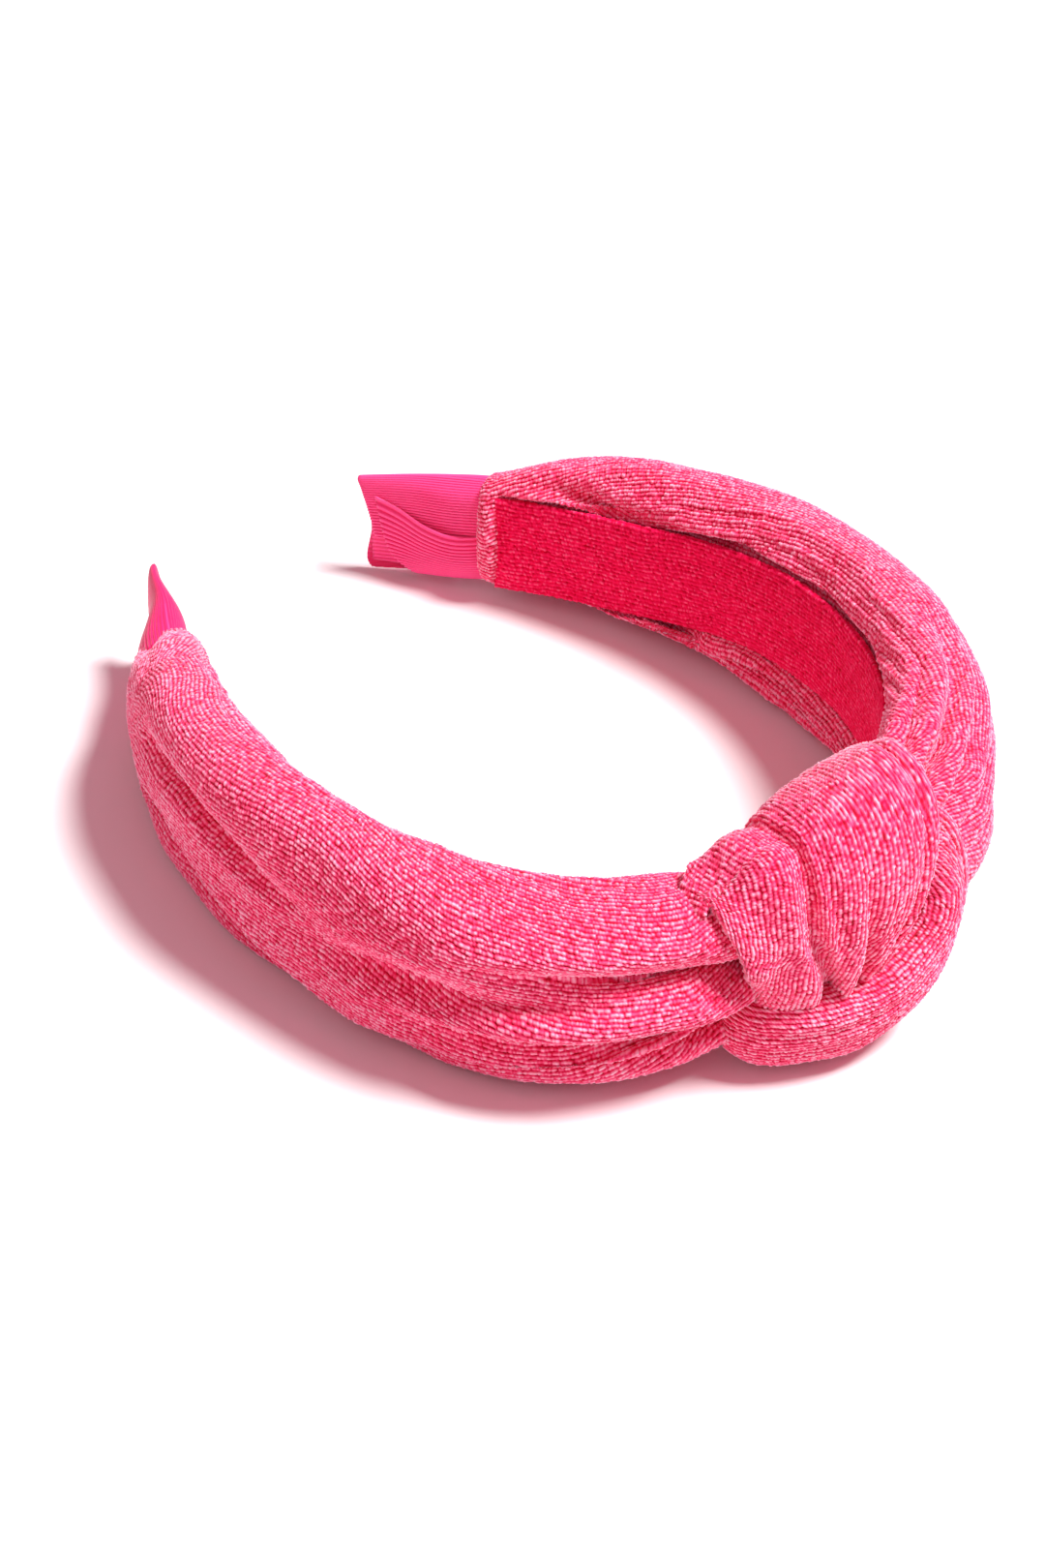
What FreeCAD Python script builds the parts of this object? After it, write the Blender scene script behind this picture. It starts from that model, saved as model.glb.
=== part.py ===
"""Knotted towelling hair band for sport, lying on its side as it rests on a table.

The band is a springy plastic arch.  Its crown is at -Y under a tied knot, its two arms run
towards +Y, and the width of the band stands along +Z.  The origin is on the table, under the
middle of the whole band.

Places on the band are given by three numbers: the run along the core's middle line from the
middle of the knot, the offset outwards from that line, and the height.  The band is built level,
with the core's middle at one height, and each piece is then laid on the table, on which the knot,
the bellies of the arms and the ribbon tips rest.
"""
import FreeCAD
import Part
import Sketcher
import math
import os

DOCUMENT = FreeCAD.newDocument("SportsHeadband")
SHEET = DOCUMENT.addObject("Spreadsheet::Sheet", "Dims")

DIMENSIONS = (
    ("crown_radius", 50.0, "plan radius of the core behind the knot"),
    ("arm_radius", 67.0, "plan radius of the core along each arm"),
    ("tip_radius", 140.0, "plan radius of the core near each tip"),
    ("crown_setback", 60.4, "distance of the crown's core behind the origin, along -Y"),
    ("flex_run", 38.0, "run at which an arm starts to spring open"),
    ("arm_run", 108.0, "run at which the arm's arc ends and the tip's arc starts"),
    ("tip_run", 175.0, "run at the very tip, over the ribbon"),
    ("flex_gap", 0.3, "half of the gap that the arm needs at its flexing line"),
    ("flex_lean", 17.0, "lean in degrees of the cover's end, which lets the arm open"),
    ("mid_height", 22.0, "height of the core's middle while the band is level"),
    ("rest_tilt", 4.9, "tilt in degrees with which the band lies, its tips down on the table"),
    ("rest_depth", 17.5, "depth of the table under the core's middle, halfway along the band"),
    ("rest_shift", 1.95, "shift that keeps the resting band centred over the origin"),
    ("table_press", 0.8, "how deep the stuffed arms would sink into the table unflattened"),
    ("core_half", 0.9, "half of the plastic arch's thickness"),
    ("core_half_width", 10.0, "half of the plastic arch's width"),
    ("core_end_run", 163.0, "run at which the plastic arch ends, inside the ribbon"),
    ("core_tip_round", 4.0, "rounding of the plastic arch's tip corners"),
    ("tape_thickness", 0.3, "double-sided tape along the inside of the arch"),
    ("tape_half_width", 4.5, "half of the tape's width"),
    ("hem_thickness", 1.5, "cover edges folded in between the tape and the lining"),
    ("lining_thickness", 1.5, "velvet strip that lies on the hair"),
    ("lining_half_width", 9.5, "half of the velvet strip's width"),
    ("recess_half_width", 9.6, "half of the window that the cover leaves for the lining"),
    ("cover_thickness", 2.2, "towelling, pile included"),
    ("cover_half_height", 21.0, "half of the stuffed cover's height along the arm"),
    ("cover_sag", 2.0, "how far the stuffed cover settles below the core's middle"),
    ("cover_bulge", 14.5, "how far the stuffed cover stands outwards along the arm"),
    ("neck_bulge", 16.5, "how far it stands outwards beside the knot"),
    ("neck_run", 34.0, "run over which the neck's fullness fades into the arm"),
    ("cover_inset", 5.0, "how far the stuffed cover stands inwards"),
    ("shoulder_run", 42.0, "run over which the cover swells from its mouth"),
    ("mouth_run", 152.5, "run of the cover's gathered mouth, where the ribbon comes out"),
    ("mouth_half_height", 11.6, "half of the gathered mouth's height"),
    ("mouth_bulge", 2.6, "the mouth's outward and inward size"),
    ("foam_start", 41.0, "run at which the padding starts"),
    ("ribbon_start", 149.5, "run at which the ribbon starts, inside the mouth"),
    ("ribbon_inner", 1.2, "offset of the ribbon's inner faces"),
    ("ribbon_thickness", 0.5, "grosgrain ribbon folded over the tip"),
    ("glue_start", 154.0, "run at which the tip's glue starts"),
    ("glue_end", 161.0, "run at which the tip's glue ends"),
    ("glue_half_width", 6.0, "half of the glue dab's width"),
    ("base_waist", 14.8, "half height of the cover under the knot"),
    ("base_waist_bulge", 7.2, "outward size of the cover under the knot"),
    ("base_waist_run", 25.5, "run up to which the cover stays narrow under the knot"),
    ("knot_offset", 2.5, "offset of the middle that the knot's strands turn about"),
    ("knot_reach", 10.5, "how far out the strands' middle line passes"),
    ("knot_rise", 20.0, "how far up and down the strands' middle line passes"),
    ("knot_turn", 114.0, "degrees up and down, from the front, that a strand wraps round"),
    ("wrap_half_thickness", 4.2, "half thickness of the strand that crosses in front"),
    ("wrap_top_half", 15.0, "half width of that strand where it fans out at the top"),
    ("wrap_bottom_half", 7.0, "half width where it is gathered at the bottom"),
    ("wrap_shift", -3.0, "how far that strand sits towards +X"),
    ("wrap_slant", 3.0, "how far that strand leans along the band"),
    ("loop_half_thickness", 4.0, "half thickness of the strand behind it"),
    ("loop_half_width", 9.0, "half width of the strand behind"),
    ("loop_shift", 7.0, "how far the strand behind sits towards +X"),
    ("loop_slant", 9.0, "how far the strand behind leans along the band"),
    ("thread_radius", 0.35, "thread that tacks the knot to the cover"),
    ("stitch_height", 11.0, "height of the tacking stitches above and below the core's middle"),
    ("stitch_stand_off", 0.55, "how far a stitch's middle lies off the cover's surface"),
    ("stitch_length", 4.0, "length of one tacking stitch"),
    ("stitch_pitch", 7.0, "distance between the tacking stitches"),
)

SHOULDER_STATIONS = 6
ARM_STATION_PITCH = 16.0
STRAND_STATIONS = 11
NARROW_STATIONS = 5
WIDENING_STATIONS = 4
STITCHES_PER_EDGE = 3
TALL = 90.0
UP = FreeCAD.Vector(0, 0, 1)


def fill_sheet():
    """Write the driving dimensions, one row each, and name every value's cell."""
    for row, (name, value, note) in enumerate(DIMENSIONS, start=1):
        SHEET.set(f"A{row}", name)
        SHEET.set(f"B{row}", str(value))
        SHEET.set(f"C{row}", note)
        SHEET.setAlias(f"B{row}", name)
    DOCUMENT.recompute()


def dim(name):
    """The number in the sheet's named cell."""
    return float(SHEET.get(name))


class PlanArc:
    """One round stretch of the core's middle line, seen from above."""

    def __init__(self, radius_name, start_run, start_point, start_heading):
        self.radius_name = radius_name
        self.radius = dim(radius_name)
        self.start_run = start_run
        self.start_heading = start_heading
        inwards = FreeCAD.Vector(-math.sin(start_heading), math.cos(start_heading), 0)
        self.centre = start_point + inwards * self.radius

    def heading(self, run):
        """Direction of the middle line at this run, as an angle from +X."""
        return self.start_heading + (run - self.start_run) / self.radius

    def point(self, run):
        """Place of the middle line at this run, at table height."""
        heading = self.heading(run)
        outwards = FreeCAD.Vector(math.sin(heading), -math.cos(heading), 0)
        return self.centre + outwards * self.radius


fill_sheet()
FLEX = dim("flex_run")
MID = dim("mid_height")
CROWN = PlanArc("crown_radius", 0.0, FreeCAD.Vector(0, -dim("crown_setback"), 0), 0.0)
ARM = PlanArc("arm_radius", FLEX, CROWN.point(FLEX), CROWN.heading(FLEX))
TIP_START = dim("arm_run")
TIP = PlanArc("tip_radius", TIP_START, ARM.point(TIP_START), ARM.heading(TIP_START))


def arc_at(run):
    """The plan arc that this run lies on."""
    if run <= FLEX:
        return CROWN
    if run <= TIP_START:
        return ARM
    return TIP


def band_axes(run):
    """Directions along the band and outwards from it at this run."""
    heading = arc_at(run).heading(run)
    along = FreeCAD.Vector(math.cos(heading), math.sin(heading), 0)
    outwards = FreeCAD.Vector(math.sin(heading), -math.cos(heading), 0)
    return along, outwards


def band_point(run, offset, height):
    """A place on the band from its run, outward offset and height over the table."""
    outwards = band_axes(run)[1]
    return arc_at(run).point(run) + outwards * offset + UP * height


def add(kind, name):
    """A new object of the document, labelled with its own name."""
    thing = DOCUMENT.addObject(kind, name)
    thing.Label = name
    return thing


def cut(name, base, tools):
    """The base with every tool taken away, one Part::Cut after another."""
    for number, tool in enumerate(tools, start=1):
        last = number == len(tools)
        step = add("Part::Cut", name if last else f"{name}_less_{number}")
        step.Base = base
        step.Tool = tool
        base = step
    return base


def fuse(name, pieces):
    """One solid from pieces that touch."""
    whole = add("Part::MultiFuse", name)
    whole.Shapes = pieces
    whole.Refine = True
    return whole


def mirrored(name, source):
    """The -X twin of a +X piece."""
    twin = add("Part::Mirroring", name)
    twin.Source = source
    twin.Base = (0, 0, 0)
    twin.Normal = (1, 0, 0)
    return twin


# ---------------------------------------------------------------------------
# Strips of constant section: a rectangle turned about the plan arc's centre.
# ---------------------------------------------------------------------------

def origin_plane(body, role):
    """One of the body's own origin planes or axes."""
    return next(item for item in body.Origin.OriginFeatures if item.Role == role)


def section_sketch(body, name, sides):
    """A rectangle whose four sides are bound to expressions: left, right, bottom, top."""
    sketch = body.newObject("Sketcher::SketchObject", f"{name}_section")
    sketch.AttachmentSupport = [(origin_plane(body, "XZ_Plane"), "")]
    sketch.MapMode = "FlatFace"
    left, right, bottom, top = (10.0, 20.0, 10.0, 20.0)
    corners = [(left, bottom), (right, bottom), (right, top), (left, top)]
    points = [FreeCAD.Vector(x, y, 0) for x, y in corners]
    for index in range(4):
        sketch.addGeometry(Part.LineSegment(points[index], points[(index + 1) % 4]))
    for index in range(4):
        sketch.addConstraint(Sketcher.Constraint("Coincident", index, 2, (index + 1) % 4, 1))
    for index, kind in enumerate(("Horizontal", "Vertical", "Horizontal", "Vertical")):
        sketch.addConstraint(Sketcher.Constraint(kind, index))
    anchors = (("DistanceX", 0, 1), ("DistanceX", 0, 2), ("DistanceY", 0, 1), ("DistanceY", 2, 1))
    for (kind, line, end), value, expression in zip(anchors, (left, right, bottom, top), sides):
        number = sketch.addConstraint(Sketcher.Constraint(kind, -1, 1, line, end, value))
        sketch.setExpression(f"Constraints[{number}]", expression)
    return sketch


def strip_piece(name, arc, runs, offsets, heights):
    """A ring piece on one plan arc.  Offsets and heights are expressions on the sheet."""
    body = add("PartDesign::Body", name)
    radius = f"Dims.{arc.radius_name}"
    sides = (
        f"{radius} + ({offsets[0]})",
        f"{radius} + ({offsets[1]})",
        f"Dims.mid_height + ({heights[0]})",
        f"Dims.mid_height + ({heights[1]})",
    )
    sketch = section_sketch(body, name, sides)
    turned = body.newObject("PartDesign::Revolution", f"{name}_turned")
    turned.Profile = sketch
    turned.ReferenceAxis = (sketch, ["V_Axis"])
    turned.setExpression("Angle", f"{runs[1] - runs[0]:.6f} / {radius} * 180 / pi")
    start_angle = math.degrees(arc.heading(runs[0])) - 90
    body.Placement = FreeCAD.Placement(arc.centre, FreeCAD.Rotation(UP, start_angle))
    return body


def strip(name, runs, offsets, heights):
    """A strip along the band that follows as many plan arcs as its runs pass over."""
    start, end = runs
    if end <= FLEX:
        return strip_piece(name, CROWN, runs, offsets, heights)
    if start >= TIP_START:
        return strip_piece(name, TIP, runs, offsets, heights)
    along_arm = strip_piece(f"{name}_on_arm", ARM, (start, min(end, TIP_START)), offsets, heights)
    if end <= TIP_START:
        return along_arm
    along_tip = strip_piece(f"{name}_on_tip", TIP, (TIP_START, end), offsets, heights)
    return fuse(name, [along_arm, along_tip])


CORE_OFFSETS = ("-Dims.core_half", "Dims.core_half")
CORE_HEIGHTS = ("-Dims.core_half_width", "Dims.core_half_width")
TAPE_OFFSETS = ("-Dims.core_half - Dims.tape_thickness", "-Dims.core_half")
TAPE_HEIGHTS = ("-Dims.tape_half_width", "Dims.tape_half_width")
LINING_BACK = "-Dims.core_half - Dims.tape_thickness - Dims.hem_thickness"
LINING_OFFSETS = (f"{LINING_BACK} - Dims.lining_thickness", LINING_BACK)
LINING_HEIGHTS = ("-Dims.lining_half_width", "Dims.lining_half_width")
RECESS_OFFSETS = ("-3 * Dims.cover_bulge", LINING_BACK)
RECESS_HEIGHTS = ("-Dims.recess_half_width", "Dims.recess_half_width")
INSIDE_OFFSETS = ("-3 * Dims.cover_bulge", "Dims.core_half")
INSIDE_HEIGHTS = ("-2 * Dims.cover_half_height", "2 * Dims.cover_half_height")
RIBBON_OUTER = "Dims.ribbon_inner + Dims.ribbon_thickness"
RIBBON_HALF = "Dims.core_half_width + Dims.ribbon_inner - Dims.core_half"


# ---------------------------------------------------------------------------
# Stuffed and knotted cloth: lofts through ellipses.
# ---------------------------------------------------------------------------

def ellipse(name, centre, major_direction, minor_direction, major, minor):
    """An ellipse whose two radii are expressions or numbers."""
    ring = add("Part::Ellipse", name)
    ring.setExpression("MajorRadius", str(major))
    ring.setExpression("MinorRadius", str(minor))
    normal = major_direction.cross(minor_direction)
    turn = FreeCAD.Rotation(major_direction, minor_direction, normal, "XYZ")
    ring.Placement = FreeCAD.Placement(centre, turn)
    return ring


def loft(name, rings):
    """A closed solid through the rings, in order."""
    skin = add("Part::Loft", name)
    skin.Sections = rings
    skin.Solid = True
    skin.Ruled = False
    skin.Closed = False
    return skin


def table_depth(run):
    """Depth of the table under the core's middle at this run, for the level band."""
    return dim("rest_depth") - band_point(run, 0, 0).y * math.tan(math.radians(dim("rest_tilt")))


def stuffed_heights(run, swell):
    """How far the stuffed cover rises over the core's middle and hangs under it."""
    mouth = dim("mouth_half_height")
    top = dim("cover_half_height") - dim("cover_sag")
    bottom = min(dim("cover_half_height") + dim("cover_sag"), table_depth(run) + dim("table_press"))
    return mouth + (top - mouth) * swell, mouth + (bottom - mouth) * swell


def cover_ring(name, run, swell, skin_expression):
    """The stuffed cover's outline at one run; swell is 0 at its mouth and 1 along the arm."""
    fade = max(0.0, 1 - (run - FLEX) / dim("neck_run")) if swell == 1 else 0.0
    bulge_text = (
        f"(Dims.mouth_bulge + (Dims.cover_bulge - Dims.mouth_bulge) * {swell:.5f}"
        f" + (Dims.neck_bulge - Dims.cover_bulge) * {fade:.5f})"
    )
    inset_text = f"(Dims.mouth_bulge + (Dims.cover_inset - Dims.mouth_bulge) * {swell:.5f})"
    top, bottom = stuffed_heights(run, swell)
    mouth = dim("mouth_bulge")
    bulge = mouth + (dim("cover_bulge") - mouth) * swell
    bulge += (dim("neck_bulge") - dim("cover_bulge")) * fade
    inset = mouth + (dim("cover_inset") - mouth) * swell
    centre = band_point(run, (bulge - inset) / 2, MID + (top - bottom) / 2)
    outwards = band_axes(run)[1]
    major = f"{(top + bottom) / 2:.4f} - {skin_expression}"
    minor = f"({bulge_text} + {inset_text}) / 2 - {skin_expression}"
    return ellipse(name, centre, UP, outwards, major, minor)


def cover_stations(first_run, skipped):
    """Runs and swells of the cover's outlines, from the knot to the gathered mouth."""
    full_run = dim("mouth_run") - dim("shoulder_run")
    steps = math.ceil((full_run - first_run) / ARM_STATION_PITCH)
    stations = []
    for step in range(steps):
        stations.append((first_run + (full_run - first_run) * step / steps, 1))
    for step in range(SHOULDER_STATIONS, -1 + skipped, -1):
        angle = math.pi / 2 * step / SHOULDER_STATIONS
        run = dim("mouth_run") - dim("shoulder_run") * (1 - math.cos(angle))
        stations.append((run, 1 if step == SHOULDER_STATIONS else math.sin(angle)))
    return stations


def stuffed_loft(name, first_run, skipped, skin_expression):
    """The cover's outer shape, or the padding's when a skin thickness is taken off."""
    rings = []
    for number, (run, swell) in enumerate(cover_stations(first_run, skipped), start=1):
        rings.append(cover_ring(f"{name}_ring_{number}", run, swell, skin_expression))
    return loft(name, rings)


def strand_loft(name, half_widths, slant, shift, half_thickness):
    """A cloth strand that wraps round the crown from inside top to inside bottom."""
    rings = []
    turn = math.radians(dim("knot_turn"))
    centre_offset = dim("knot_offset")
    reach = dim("knot_reach")
    rise = dim("knot_rise")
    top_half, bottom_half = half_widths
    for number in range(STRAND_STATIONS):
        share = number / (STRAND_STATIONS - 1)
        angle = turn * (1 - 2 * share)
        run = shift + slant * (1 - 2 * share)
        along, outwards = band_axes(run)
        offset = centre_offset + reach * math.cos(angle)
        height = MID + rise * math.sin(angle)
        facing = outwards * (rise * math.cos(angle)) + UP * (reach * math.sin(angle))
        facing.normalize()
        half = f"{top_half} + ({bottom_half} - {top_half}) * {share:.5f}"
        centre = band_point(run, offset, height)
        rings.append(ellipse(f"{name}_ring_{number + 1}", centre, along, facing, half, half_thickness))
    return loft(name, rings)


def table_block():
    """Everything below the table's surface, as it lies under the level band, to flatten the cloth."""
    block = add("Part::Box", "below_table")
    block.Length = 4 * TALL
    block.Width = 4 * TALL
    block.Height = TALL
    turn = FreeCAD.Rotation(FreeCAD.Vector(1, 0, 0), dim("rest_tilt"))
    surface = UP * (MID - dim("rest_depth"))
    corner = turn.multVec(FreeCAD.Vector(-2 * TALL, -2 * TALL, -TALL))
    block.Placement = FreeCAD.Placement(surface + corner, turn)
    return block


def laid(thing):
    """The piece turned from the level band to how the band rests on the table."""
    name = thing.Label
    thing.Label = f"{name}_level"
    piece = add("Part::Compound", f"{name}_laid")
    piece.Label = name
    piece.Links = [thing]
    turn = FreeCAD.Rotation(FreeCAD.Vector(1, 0, 0), -dim("rest_tilt"))
    surface = turn.multVec(UP * (MID - dim("rest_depth")))
    piece.Placement = FreeCAD.Placement(FreeCAD.Vector(0, -dim("rest_shift"), 0) - surface, turn)
    return piece


def flexing_block(name, run):
    """A block on the knot's side of a plane that leans, so that the arm can open."""
    block = add("Part::Box", name)
    block.Length = TALL / 2
    block.Width = TALL
    block.Height = TALL
    along, outwards = band_axes(run)
    heading = math.degrees(math.atan2(along.y, along.x))
    turn = FreeCAD.Rotation(UP, heading + dim("flex_lean"))
    hinge = band_point(run, 0, 0)
    corner = turn.multVec(FreeCAD.Vector(-TALL / 2, -TALL / 2, -TALL / 4))
    block.Placement = FreeCAD.Placement(hinge + corner, turn)
    return block


# ---------------------------------------------------------------------------
# The pieces.
# ---------------------------------------------------------------------------

def crown_strips():
    """Plastic arch, tape and velvet behind the knot."""
    runs = (-FLEX + dim("flex_gap"), FLEX - dim("flex_gap"))
    core = strip("core_crown", runs, CORE_OFFSETS, CORE_HEIGHTS)
    tape = strip("lining_tape_crown", runs, TAPE_OFFSETS, TAPE_HEIGHTS)
    lining = strip("lining_crown", runs, LINING_OFFSETS, LINING_HEIGHTS)
    recess = strip("crown_recess", runs, RECESS_OFFSETS, RECESS_HEIGHTS)
    return core, tape, lining, recess


def base_outline(run):
    """Waist share, bulge and half height of the cover under the knot at this run."""
    narrow = dim("base_waist_run")
    widening = max(0.0, abs(run) - narrow) / (FLEX - dim("flex_gap") - narrow)
    waist = math.cos(math.pi / 2 * widening) ** 2
    bulge = dim("neck_bulge") + (dim("base_waist_bulge") - dim("neck_bulge")) * waist
    half = dim("cover_half_height") + (dim("base_waist") - dim("cover_half_height")) * waist
    return waist, bulge, half


def stitches():
    """Tacking stitches along the inner edges of the knot, as one group of threads."""
    threads = []
    inset = dim("cover_inset")
    for side, edge in ((-1, "bottom"), (1, "top")):
        for number in range(STITCHES_PER_EDGE):
            run = (number - (STITCHES_PER_EDGE - 1) / 2) * dim("stitch_pitch")
            bulge, half = base_outline(run)[1:]
            depth = math.sqrt(1 - (dim("stitch_height") / half) ** 2)
            surface = (bulge - inset) / 2 - (bulge + inset) / 2 * depth
            offset = surface - dim("stitch_stand_off")
            along = band_axes(run)[0]
            middle = band_point(run, offset, MID + side * dim("stitch_height"))
            thread = add("Part::Cylinder", f"stitch_{edge}_{number + 1}")
            thread.setExpression("Radius", "Dims.thread_radius")
            thread.setExpression("Height", "Dims.stitch_length")
            start = middle - along * (dim("stitch_length") / 2)
            thread.Placement = FreeCAD.Placement(start, FreeCAD.Rotation(UP, along))
            threads.append(thread)
    group = add("Part::Compound", "knot_stitches")
    group.Links = threads
    return group


def knot_base_solid():
    """The cover where it passes under the knot, narrowed to a waist."""
    narrow = dim("base_waist_run")
    widening = FLEX - dim("flex_gap") - narrow
    outer_runs = [narrow + widening * step / WIDENING_STATIONS for step in range(1, WIDENING_STATIONS + 1)]
    inner_runs = [narrow * (2 * step / (NARROW_STATIONS - 1) - 1) for step in range(NARROW_STATIONS)]
    runs = [-run for run in reversed(outer_runs)] + inner_runs + outer_runs
    rings = []
    for number, run in enumerate(runs):
        waist, bulge = base_outline(run)[:2]
        height = f"Dims.cover_half_height + (Dims.base_waist - Dims.cover_half_height) * {waist:.5f}"
        thick = (
            f"(Dims.neck_bulge + (Dims.base_waist_bulge - Dims.neck_bulge) * {waist:.5f}"
            " + Dims.cover_inset) / 2"
        )
        centre_height = MID - dim("cover_sag") * (1 - waist)
        centre = band_point(run, (bulge - dim("cover_inset")) / 2, centre_height)
        name = f"knot_base_ring_{number + 1}"
        rings.append(ellipse(name, centre, UP, band_axes(run)[1], height, thick))
    return loft("knot_base_solid", rings)


def knot(core, tape, recess, table):
    """The tied cover at the crown: its base, the crossing strand and the strand behind."""
    solid_base = knot_base_solid()
    wrap_widths = ("Dims.wrap_top_half", "Dims.wrap_bottom_half")
    solid_wrap = strand_loft(
        "knot_wrap_solid", wrap_widths, dim("wrap_slant"), dim("wrap_shift"), "Dims.wrap_half_thickness")
    loop_widths = ("Dims.loop_half_width", "Dims.loop_half_width")
    solid_loop = strand_loft(
        "knot_loop_solid", loop_widths, dim("loop_slant"), dim("loop_shift"), "Dims.loop_half_thickness")
    wrap = cut("knot_wrap", solid_wrap, [table])
    loop = cut("knot_loop", solid_loop, [table, solid_wrap])
    base = cut("knot_base", solid_base, [table, core, tape, recess])
    return base, wrap, loop


def rounded_tip(name, core, end_run):
    """The plastic arch with the two corners of its tip rounded."""
    DOCUMENT.recompute()
    corner_edges = []
    for number, edge in enumerate(core.Shape.Edges, start=1):
        middle = edge.CenterOfMass
        for side in (-1, 1):
            corner = band_point(end_run, 0, MID + side * dim("core_half_width"))
            if middle.distanceToPoint(corner) < dim("core_half") / 2:
                corner_edges.append(number)
    rounded = add("Part::Fillet", name)
    rounded.Base = core
    radius = dim("core_tip_round")
    rounded.Edges = [(number, radius, radius) for number in corner_edges]
    return rounded


def right_arm(table):
    """Every piece of the +X arm, named for its node without the side."""
    start = FLEX + dim("flex_gap")
    thickness = dim("ribbon_thickness")
    core_end = dim("core_end_run")
    square_core = strip("square_core_right", (start, core_end), CORE_OFFSETS, CORE_HEIGHTS)
    core = rounded_tip("core_right", square_core, core_end)
    tape_runs = (start, dim("ribbon_start"))
    tape = strip("lining_tape_right", tape_runs, TAPE_OFFSETS, TAPE_HEIGHTS)
    mouth_runs = (start, dim("mouth_run"))
    lining = strip("lining_right", mouth_runs, LINING_OFFSETS, LINING_HEIGHTS)
    recess = strip("arm_recess", mouth_runs, RECESS_OFFSETS, RECESS_HEIGHTS)
    inside = strip("arm_inside", mouth_runs, INSIDE_OFFSETS, INSIDE_HEIGHTS)

    ribbon_runs = (dim("ribbon_start"), dim("tip_run"))
    sleeve_offsets = (f"-({RIBBON_OUTER})", RIBBON_OUTER)
    sleeve_half = f"{RIBBON_HALF} + Dims.ribbon_thickness"
    sleeve = strip("ribbon_sleeve", ribbon_runs, sleeve_offsets, (f"-({sleeve_half})", sleeve_half))
    pocket_offsets = ("-Dims.ribbon_inner", "Dims.ribbon_inner")
    pocket_runs = (dim("ribbon_start"), dim("tip_run") - thickness)
    pocket = strip("ribbon_pocket", pocket_runs, pocket_offsets, (f"-({RIBBON_HALF})", RIBBON_HALF))
    ribbon = cut("ribbon_right", sleeve, [pocket])

    glue_heights = ("-Dims.glue_half_width", "Dims.glue_half_width")
    glue_slab = strip("glue_slab", (dim("glue_start"), dim("glue_end")), pocket_offsets, glue_heights)
    glue = cut("tip_glue_right", glue_slab, [square_core])

    padding = stuffed_loft("padding_solid", dim("foam_start"), 2, "Dims.cover_thickness")
    padding_lean = flexing_block("padding_lean", dim("foam_start"))
    foam = cut("foam_right", padding, [padding_lean, inside])

    skin = stuffed_loft("cover_solid", start, 0, "0")
    cover_lean = flexing_block("cover_lean", start)
    cover = cut("cover_right", skin, [cover_lean, table, foam, square_core, tape, recess, sleeve])
    return {
        "core": core,
        "lining_tape": tape,
        "lining": lining,
        "ribbon": ribbon,
        "tip_glue": glue,
        "foam": foam,
        "cover": cover,
    }


def build():
    """All nodes of the band, by name."""
    table = table_block()
    core, tape, lining, recess = crown_strips()
    threads = stitches()
    base, wrap, loop = knot(core, tape, recess, table)
    nodes = [core, tape, lining, threads, base, wrap, loop]
    for piece, thing in right_arm(table).items():
        nodes.append(thing)
        nodes.append(mirrored(f"{piece}_left", thing))
    resting = [laid(node) for node in nodes]
    DOCUMENT.recompute()
    return resting


def check(nodes):
    """Stop before anything is written if any object failed or any node is not sound."""
    for thing in DOCUMENT.Objects:
        if "Invalid" in thing.State or "Error" in thing.State:
            raise RuntimeError(f"{thing.Name} failed: {thing.State}")
    for node in nodes:
        if node.Shape.isNull() or not node.Shape.isValid() or not node.Shape.Solids:
            raise RuntimeError(f"{node.Label} is not a sound solid")


def export(nodes):
    """One STEP file for each node."""
    os.makedirs("parts", exist_ok=True)
    for node in nodes:
        node.Shape.exportStep(f"parts/{node.Label}.step")
        box = node.Shape.BoundBox
        print(f"{node.Label}: {len(node.Shape.Solids)} solid, {node.Shape.Volume:.1f} mm3,"
              f" x {box.XMin:.2f} {box.XMax:.2f}, y {box.YMin:.2f} {box.YMax:.2f},"
              f" z {box.ZMin:.2f} {box.ZMax:.2f}")


NODES = build()
check(NODES)
export(NODES)
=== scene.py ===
"""Knotted towelling hair band: the looks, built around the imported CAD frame.

Lengths are in millimetres on the band and become metres when a mesh is made.  A place on the band
is (run, out, high): run along the core's middle line from the knot, negative on the left arm, out
from that line, and high from the core's middle.  The level band is then laid on the floor, on its
knot, its bellies and its tips.
"""
import math

import bpy
import numpy as np
from mathutils import Matrix, Vector


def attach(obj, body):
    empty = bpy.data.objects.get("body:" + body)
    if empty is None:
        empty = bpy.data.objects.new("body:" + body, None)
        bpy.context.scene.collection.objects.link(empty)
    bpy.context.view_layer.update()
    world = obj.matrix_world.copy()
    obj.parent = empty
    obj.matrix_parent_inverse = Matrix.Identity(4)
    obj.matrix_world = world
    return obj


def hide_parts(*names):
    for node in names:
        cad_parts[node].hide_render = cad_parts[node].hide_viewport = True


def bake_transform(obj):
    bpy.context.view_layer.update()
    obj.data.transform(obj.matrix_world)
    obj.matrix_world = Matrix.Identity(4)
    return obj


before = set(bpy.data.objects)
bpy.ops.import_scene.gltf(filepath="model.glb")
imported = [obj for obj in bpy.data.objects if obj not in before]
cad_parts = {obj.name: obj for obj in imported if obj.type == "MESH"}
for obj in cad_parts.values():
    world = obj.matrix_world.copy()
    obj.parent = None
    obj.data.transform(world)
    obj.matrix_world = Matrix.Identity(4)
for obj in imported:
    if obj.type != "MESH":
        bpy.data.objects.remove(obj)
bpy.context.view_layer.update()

MM = 0.001
TILT = math.radians(4.9)
DEPTH, SHIFT = 17.5, 1.95
FLEX_RUN, TIP_START = 38.0, 108.0
CROWN_RADIUS, ARM_RADIUS, TIP_RADIUS = 50.0, 67.0, 140.0
CROWN_SETBACK = 60.4
STEP = 0.22
SIGNS = {"left": -1.0, "right": 1.0}


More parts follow.
